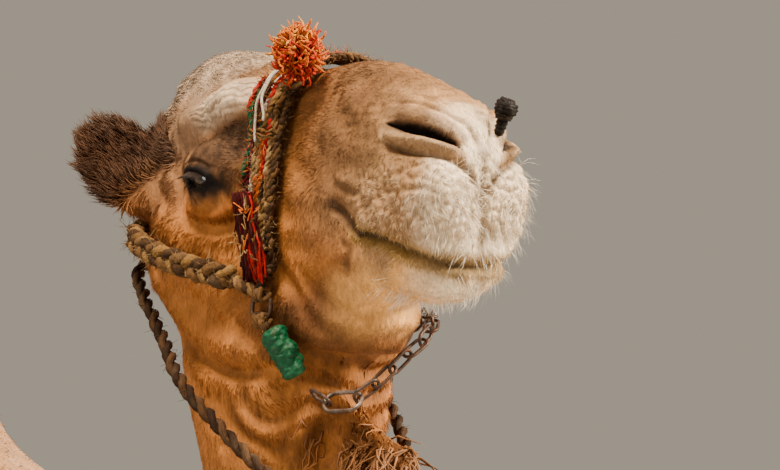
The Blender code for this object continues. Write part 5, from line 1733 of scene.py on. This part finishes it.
def axes_of(P):
    """The middle of a node and its long, middle and short axes with their half lengths."""
    ways = np.linalg.eigh(np.cov((P - P.mean(0)).T))[1].T[::-1]
    spans = [(P @ w).max() / 2 - (P @ w).min() / 2 for w in ways]
    middle = sum(((P @ w).max() / 2 + (P @ w).min() / 2) * w for w in ways)
    return middle, ways, spans


def nodes_called(*starts):
    return [name for name in sorted(NODES) if name.startswith(starts)]


def make_chain():
    """Every link of the chain, bent from round wire, with its weld."""
    rusty = make_iron_material("chain_iron", (0.105, 0.038, 0.015), (0.090, 0.062, 0.046))
    worn = make_iron_material("ring_iron", (0.110, 0.048, 0.022), (0.190, 0.150, 0.120))
    turn = np.linspace(0, TURN, 49)
    weld = 0.10 * np.exp(-((turn - 1.6) / 0.12) ** 2)
    thinned = 1 - 0.08 * np.abs(np.cos(turn)) ** 6
    for name in nodes_called("chain_", "link_", "ring_"):
        middle, (long, wide, thin), (a, b, wire) = axes_of(welded(name)[0])
        straight = max(a - b, 0.0)
        path = (b - wire) * (np.cos(turn)[:, None] * long + np.sin(turn)[:, None] * wide) \
            + straight * np.clip(np.cos(turn) * 4, -1, 1)[:, None] * long + middle
        link = Strands()
        radius = wire * (thinned + weld) * 0.98
        link.add(path, radius, (0.1, 0.08, 0.07), 12, out=np.tile(thin, (len(turn), 1)))
        link.finish(f"{name}_wire", worn if name.startswith("ring_") else rusty, "iron", name)


TAPE_RINGS, TAPE_SIDES = 56, 40


def make_tape():
    """Green plastic tape wound round the joint of chain and noseband, crumpled and torn at its ends."""
    P, _ = welded("wrap_right")
    Z = P[:, 2]
    top, foot = top_and_foot(P)
    core = P[np.abs(Z - (Z.max() + Z.min()) / 2) < 0.006].mean(0)
    line = even_line([top, core, foot], TAPE_RINGS)
    nearest = line[np.argmin(np.linalg.norm(P[:, None] - line, axis=2), axis=1)]
    reach = np.linalg.norm(P - nearest, axis=1).max()
    _, O, B = frames(line, np.tile([0.3, -1.0, 0.0], (TAPE_RINGS, 1)))
    s = np.linspace(0, 1, TAPE_RINGS)
    a = TURN * np.arange(TAPE_SIDES) / TAPE_SIDES
    fold = np.array([[noise.noise(Vector((x * 1.6, y * 1.6, t * 5.0))) * 0.26
                      + abs(noise.noise(Vector((x * 2.5 + 9, y * 2.5, t * 11.0)))) * 0.22
                      for x, y in zip(np.cos(a), np.sin(a))] for t in s])
    ends = (np.clip(s / 0.10, 0, 1) ** 0.5 * np.clip((1 - s) / 0.10, 0, 1) ** 0.5)[:, None]
    radius = reach * (0.86 + fold) * (0.60 + 0.40 * ends)
    wound = ring_points(line, radius[:, :, None], TAPE_SIDES, O, B).reshape(-1, 3)
    wound = np.concatenate([wound, line[[0, -1]]])
    mesh = built_mesh("tape_wound", wound, tube_faces(TAPE_RINGS, TAPE_SIDES))
    paint = Paint("tape", 0.45, Specular_IOR_Level=0.22)
    shaded_crease = paint.noise(210, 5, None, 0.6, 1.0)
    grime = paint.noise(120, 4)
    # darker in the low hollows and lighter on the raised folds, following the bump: painted shade and painted
    # highlight
    colour = paint.mix((0.0005, 0.040, 0.014), (0.001, 0.085, 0.032), paint.spread(shaded_crease, 0.35, 0.65))
    colour = paint.mix(colour, (0.070, 0.065, 0.030), paint.spread(grime, 0.58, 0.72, 0.0, 0.55))
    material = paint.finish(colour, paint.spread(shaded_crease, 0.3, 0.7, 0.28, 0.55), (shaded_crease, 0.0016, 0.8))
    add_piece("tape_wound", mesh, material, ["wrap_right"])


def make_peg():
    """The dark peg in the left nostril: a lumpy wound knob on a stem, with a cord coiled below the knob."""
    P, _ = welded("nose_peg")
    knob, foot = top_and_foot(P, 0.010, 0.004)
    edit = bmesh.new()
    bmesh.ops.create_icosphere(edit, subdivisions=4, radius=0.0086)
    for v in edit.verts:
        layer = 0.0007 * math.sin(1900 * (v.co.z + 0.35 * v.co.x + 0.2 * v.co.y))
        lump = 0.0034 * noise.noise(v.co * 95) + 0.0012 * noise.noise(v.co * 330)
        v.co += v.co.normalized() * (lump + layer)
        v.co *= 0.94
        v.co += Vector(knob) + Vector((-0.0026, 0, -0.0022))
    paint = Paint("peg", 0.80, Specular_IOR_Level=0.08)
    grain = paint.noise(240, 4, (1.0, 1.0, 0.3))
    colour = paint.mix((0.005, 0.004, 0.004), (0.018, 0.012, 0.009), paint.spread(grain, 0.4, 0.7))
    material = paint.finish(colour, paint.spread(grain, 0.3, 0.7, 0.42, 0.70), (grain, 0.0008, 0.8))
    add_piece("peg_knob", finished_mesh("peg_knob", edit), material, ["nose_peg"])
    stem = Strands()
    inward = unit(foot - knob)
    step = np.arange(24)
    shape = np.interp(step, [0, 6, 12, 23], [0.0066, 0.0060, 0.0044, 0.0036])
    path = even_line([knob, foot + inward * 0.010], len(step))
    stem.add(path, shape * (1 + 0.10 * np.sin(step * 1.9)), (0.010, 0.007, 0.005), 12)
    a = np.linspace(0, 4 * TURN, 90)[:, None]
    side = unit(np.cross(inward, [0, 0, 1.0]))
    other = np.cross(inward, side)
    at = knob + inward * (0.0074 + 0.0040 * a / a.max())
    coil = at + (0.0064 - 0.0010 * a / a.max()) * (np.cos(a) * side + np.sin(a) * other)
    stem.add(coil, 0.00060, (0.014, 0.010, 0.008), 6)
    stem.finish("peg_stem", make_yarn_material("peg_wrapping", 0.8), "black")


# ---------------------------------------------------------------- eyes and nails


def make_eye_material():
    """Dark brown with a level pupil, wet; the eyeball's own Z looks out."""
    paint = Paint("eye", 0.12, Specular_IOR_Level=0.6, Coat_Weight=1.0, Coat_Roughness=0.03)
    split = paint.node("ShaderNodeSeparateXYZ")
    paint.feed(split.inputs[0], paint.where)
    x, y = split.outputs["X"], split.outputs["Y"]
    wide = paint.maths("POWER", paint.maths("DIVIDE", x, 0.0078), 2.0)
    tall = paint.maths("POWER", paint.maths("DIVIDE", y, 0.0034), 2.0)
    pupil = paint.spread(paint.maths("ADD", wide, tall), 0.85, 1.1, 1.0, 0.0)
    squares = paint.maths("ADD", paint.maths("POWER", x, 2.0), paint.maths("POWER", y, 2.0))
    iris = paint.spread(paint.maths("SQRT", squares, 0.0), 0.0128, 0.0140, 1.0, 0.0)
    spokes = paint.noise(900, 3, (1.0, 1.0, 0.2))
    brown = paint.mix((0.030, 0.015, 0.008), (0.115, 0.055, 0.022), paint.spread(spokes, 0.35, 0.65))
    colour = paint.mix((0.045, 0.030, 0.024), brown, iris)
    return paint.finish(paint.mix(colour, (0.002, 0.002, 0.003), pupil), None, (spokes, 0.0001, 0.2))


def make_eyes():
    """Eyeballs that look a little ahead and down, with a slight bulge in front."""
    material = make_eye_material()
    for side, sign in SIDES.items():
        edit = bmesh.new()
        bmesh.ops.create_uvsphere(edit, u_segments=48, v_segments=32, radius=EYE_RADIUS * 0.995)
        for v in edit.verts:
            rim = math.hypot(v.co.x, v.co.y)
            v.co.z += 0.0006 * math.exp(-((rim / 0.010) ** 4)) * (v.co.z > 0)
        gaze = Vector((0.55, sign, -0.10)).normalized()
        level = Vector((0, 0, 1)).cross(gaze).normalized()
        turn = Matrix((level, gaze.cross(level), gaze)).transposed().to_4x4()
        turn.translation = Vector((EYE[0], sign * EYE[1], EYE[2])) - gaze * 0.0007
        name = f"eyeball_{side}"
        add_piece(name, finished_mesh(name, edit), material, [f"eye_{side}"], turn)


def make_nails():
    """Blunt horn nails, ridged across, one on each toe."""
    paint = Paint("nail", 0.60, Specular_IOR_Level=0.20)
    bands = paint.noise(420, 4, (0.25, 1.0, 1.0))
    colour = paint.mix((0.030, 0.020, 0.014), (0.110, 0.074, 0.048), paint.spread(bands, 0.35, 0.68))
    material = paint.finish(colour, paint.spread(bands, 0.3, 0.7, 0.35, 0.62), (bands, 0.0010, 0.8))
    for name in nodes_called("nail_"):
        low, _, middle, half = node_box(name)
        edit = bmesh.new()
        bmesh.ops.create_icosphere(edit, subdivisions=4, radius=1.0)
        for v in edit.verts:
            x, y, z = v.co
            ridge = 1 + 0.020 * math.sin(13 * x + 0.8 * y) + 0.02 * noise.noise(v.co * 3)
            tip = (x + 1) / 2
            x, y, z = (math.copysign(abs(c) ** 0.8, c) * 0.95 for c in (x, y, z))
            z = z * (1 - 0.78 * tip ** 1.6) if z > 0 else z * (0.62 - 0.30 * tip)
            level = middle[2] + half[2] * (z * ridge - 0.36 * tip ** 2)
            wide = half[1] * y * (1 - 0.42 * tip ** 2) * ridge
            v.co = Vector((middle[0] + half[0] * x, middle[1] + wide, max(level, low[2])))
        add_piece(f"{name}_horn", finished_mesh(f"{name}_horn", edit), material, [name])


make_ropes()
woollen = make_yarn_material("wool", 0.85, 2600, 0.0007, 0.50)
noseband_line = make_noseband(woollen)
make_tassels(woollen)
make_pompom(woollen, noseband_line)
make_knots()
make_chain()
make_tape()
make_peg()
make_eyes()
make_nails()


# ---------------------------------------------------------------- camera and light


CAMERA_FROM_HEAD = (1.235, -0.742, -0.156)
CAMERA_AHEAD, CAMERA_UP = (-0.825, 0.563, 0.059), (0.057, -0.021, 0.998)
# Name, place, target, size, power and colour.
LIGHTS = [
    ("key", (1.6, -0.9, 4.6), (0.9, 0, 1.9), 1.0, 270, (1.0, 0.86, 0.66)),
    ("rim", (3.2, 2.6, 3.4), (0.9, 0, 2.0), 1.2, 560, (1.0, 0.88, 0.70)),
    ("fill", (1.0, -4.2, 1.9), (0.4, 0, 1.5), 2.5, 70, (1.0, 0.93, 0.84)),
    ("back", (-3.5, 2.5, 3.5), (-0.2, 0, 1.4), 2.5, 160, (1.0, 0.96, 0.90)),
]


def set_camera():
    """Beside the muzzle and a little below it, looking back and slightly up past the right cheek."""
    camera = bpy.data.cameras.new("camera")
    camera.sensor_width = 36.0
    camera.lens = 78.46
    camera.clip_end = 60
    holder = in_scene(bpy.data.objects.new("camera", camera))
    ahead, up = Vector(CAMERA_AHEAD).normalized(), Vector(CAMERA_UP).normalized()
    right = ahead.cross(up).normalized()
    turn = Matrix((right, right.cross(ahead), -ahead)).transposed().to_4x4()
    turn.translation = Vector(HEAD) + Vector(CAMERA_FROM_HEAD)
    holder.matrix_world = turn
    bpy.context.scene.camera = holder


def add_light(name, place, target, size, power, colour):
    lamp = bpy.data.lights.new(name, "AREA")
    lamp.shape = "DISK"
    lamp.size = size
    lamp.energy = power
    lamp.color = colour
    holder = in_scene(bpy.data.objects.new(name, lamp))
    holder.location = place
    holder.rotation_euler = (Vector(target) - Vector(place)).to_track_quat("-Z", "Y").to_euler()


def set_stage():
    """A plain floor, a warm soft sky and the lamps."""
    world = bpy.data.worlds.new("studio")
    bpy.context.scene.world = world
    world.use_nodes = True
    back = world.node_tree.nodes["Background"]
    back.inputs["Color"].default_value = (0.90, 0.78, 0.62, 1)
    back.inputs["Strength"].default_value = 0.42
    bpy.ops.mesh.primitive_plane_add(size=14)
    floor = bpy.context.object
    floor.name = "floor"
    paint = bpy.data.materials.new("floor")
    paint.use_nodes = True
    shader = paint.node_tree.nodes["Principled BSDF"]
    shader.inputs["Base Color"].default_value = (0.62, 0.59, 0.55, 1)
    shader.inputs["Roughness"].default_value = 0.9
    floor.data.materials.append(paint)
    for light in LIGHTS:
        add_light(*light)


set_camera()
set_stage()
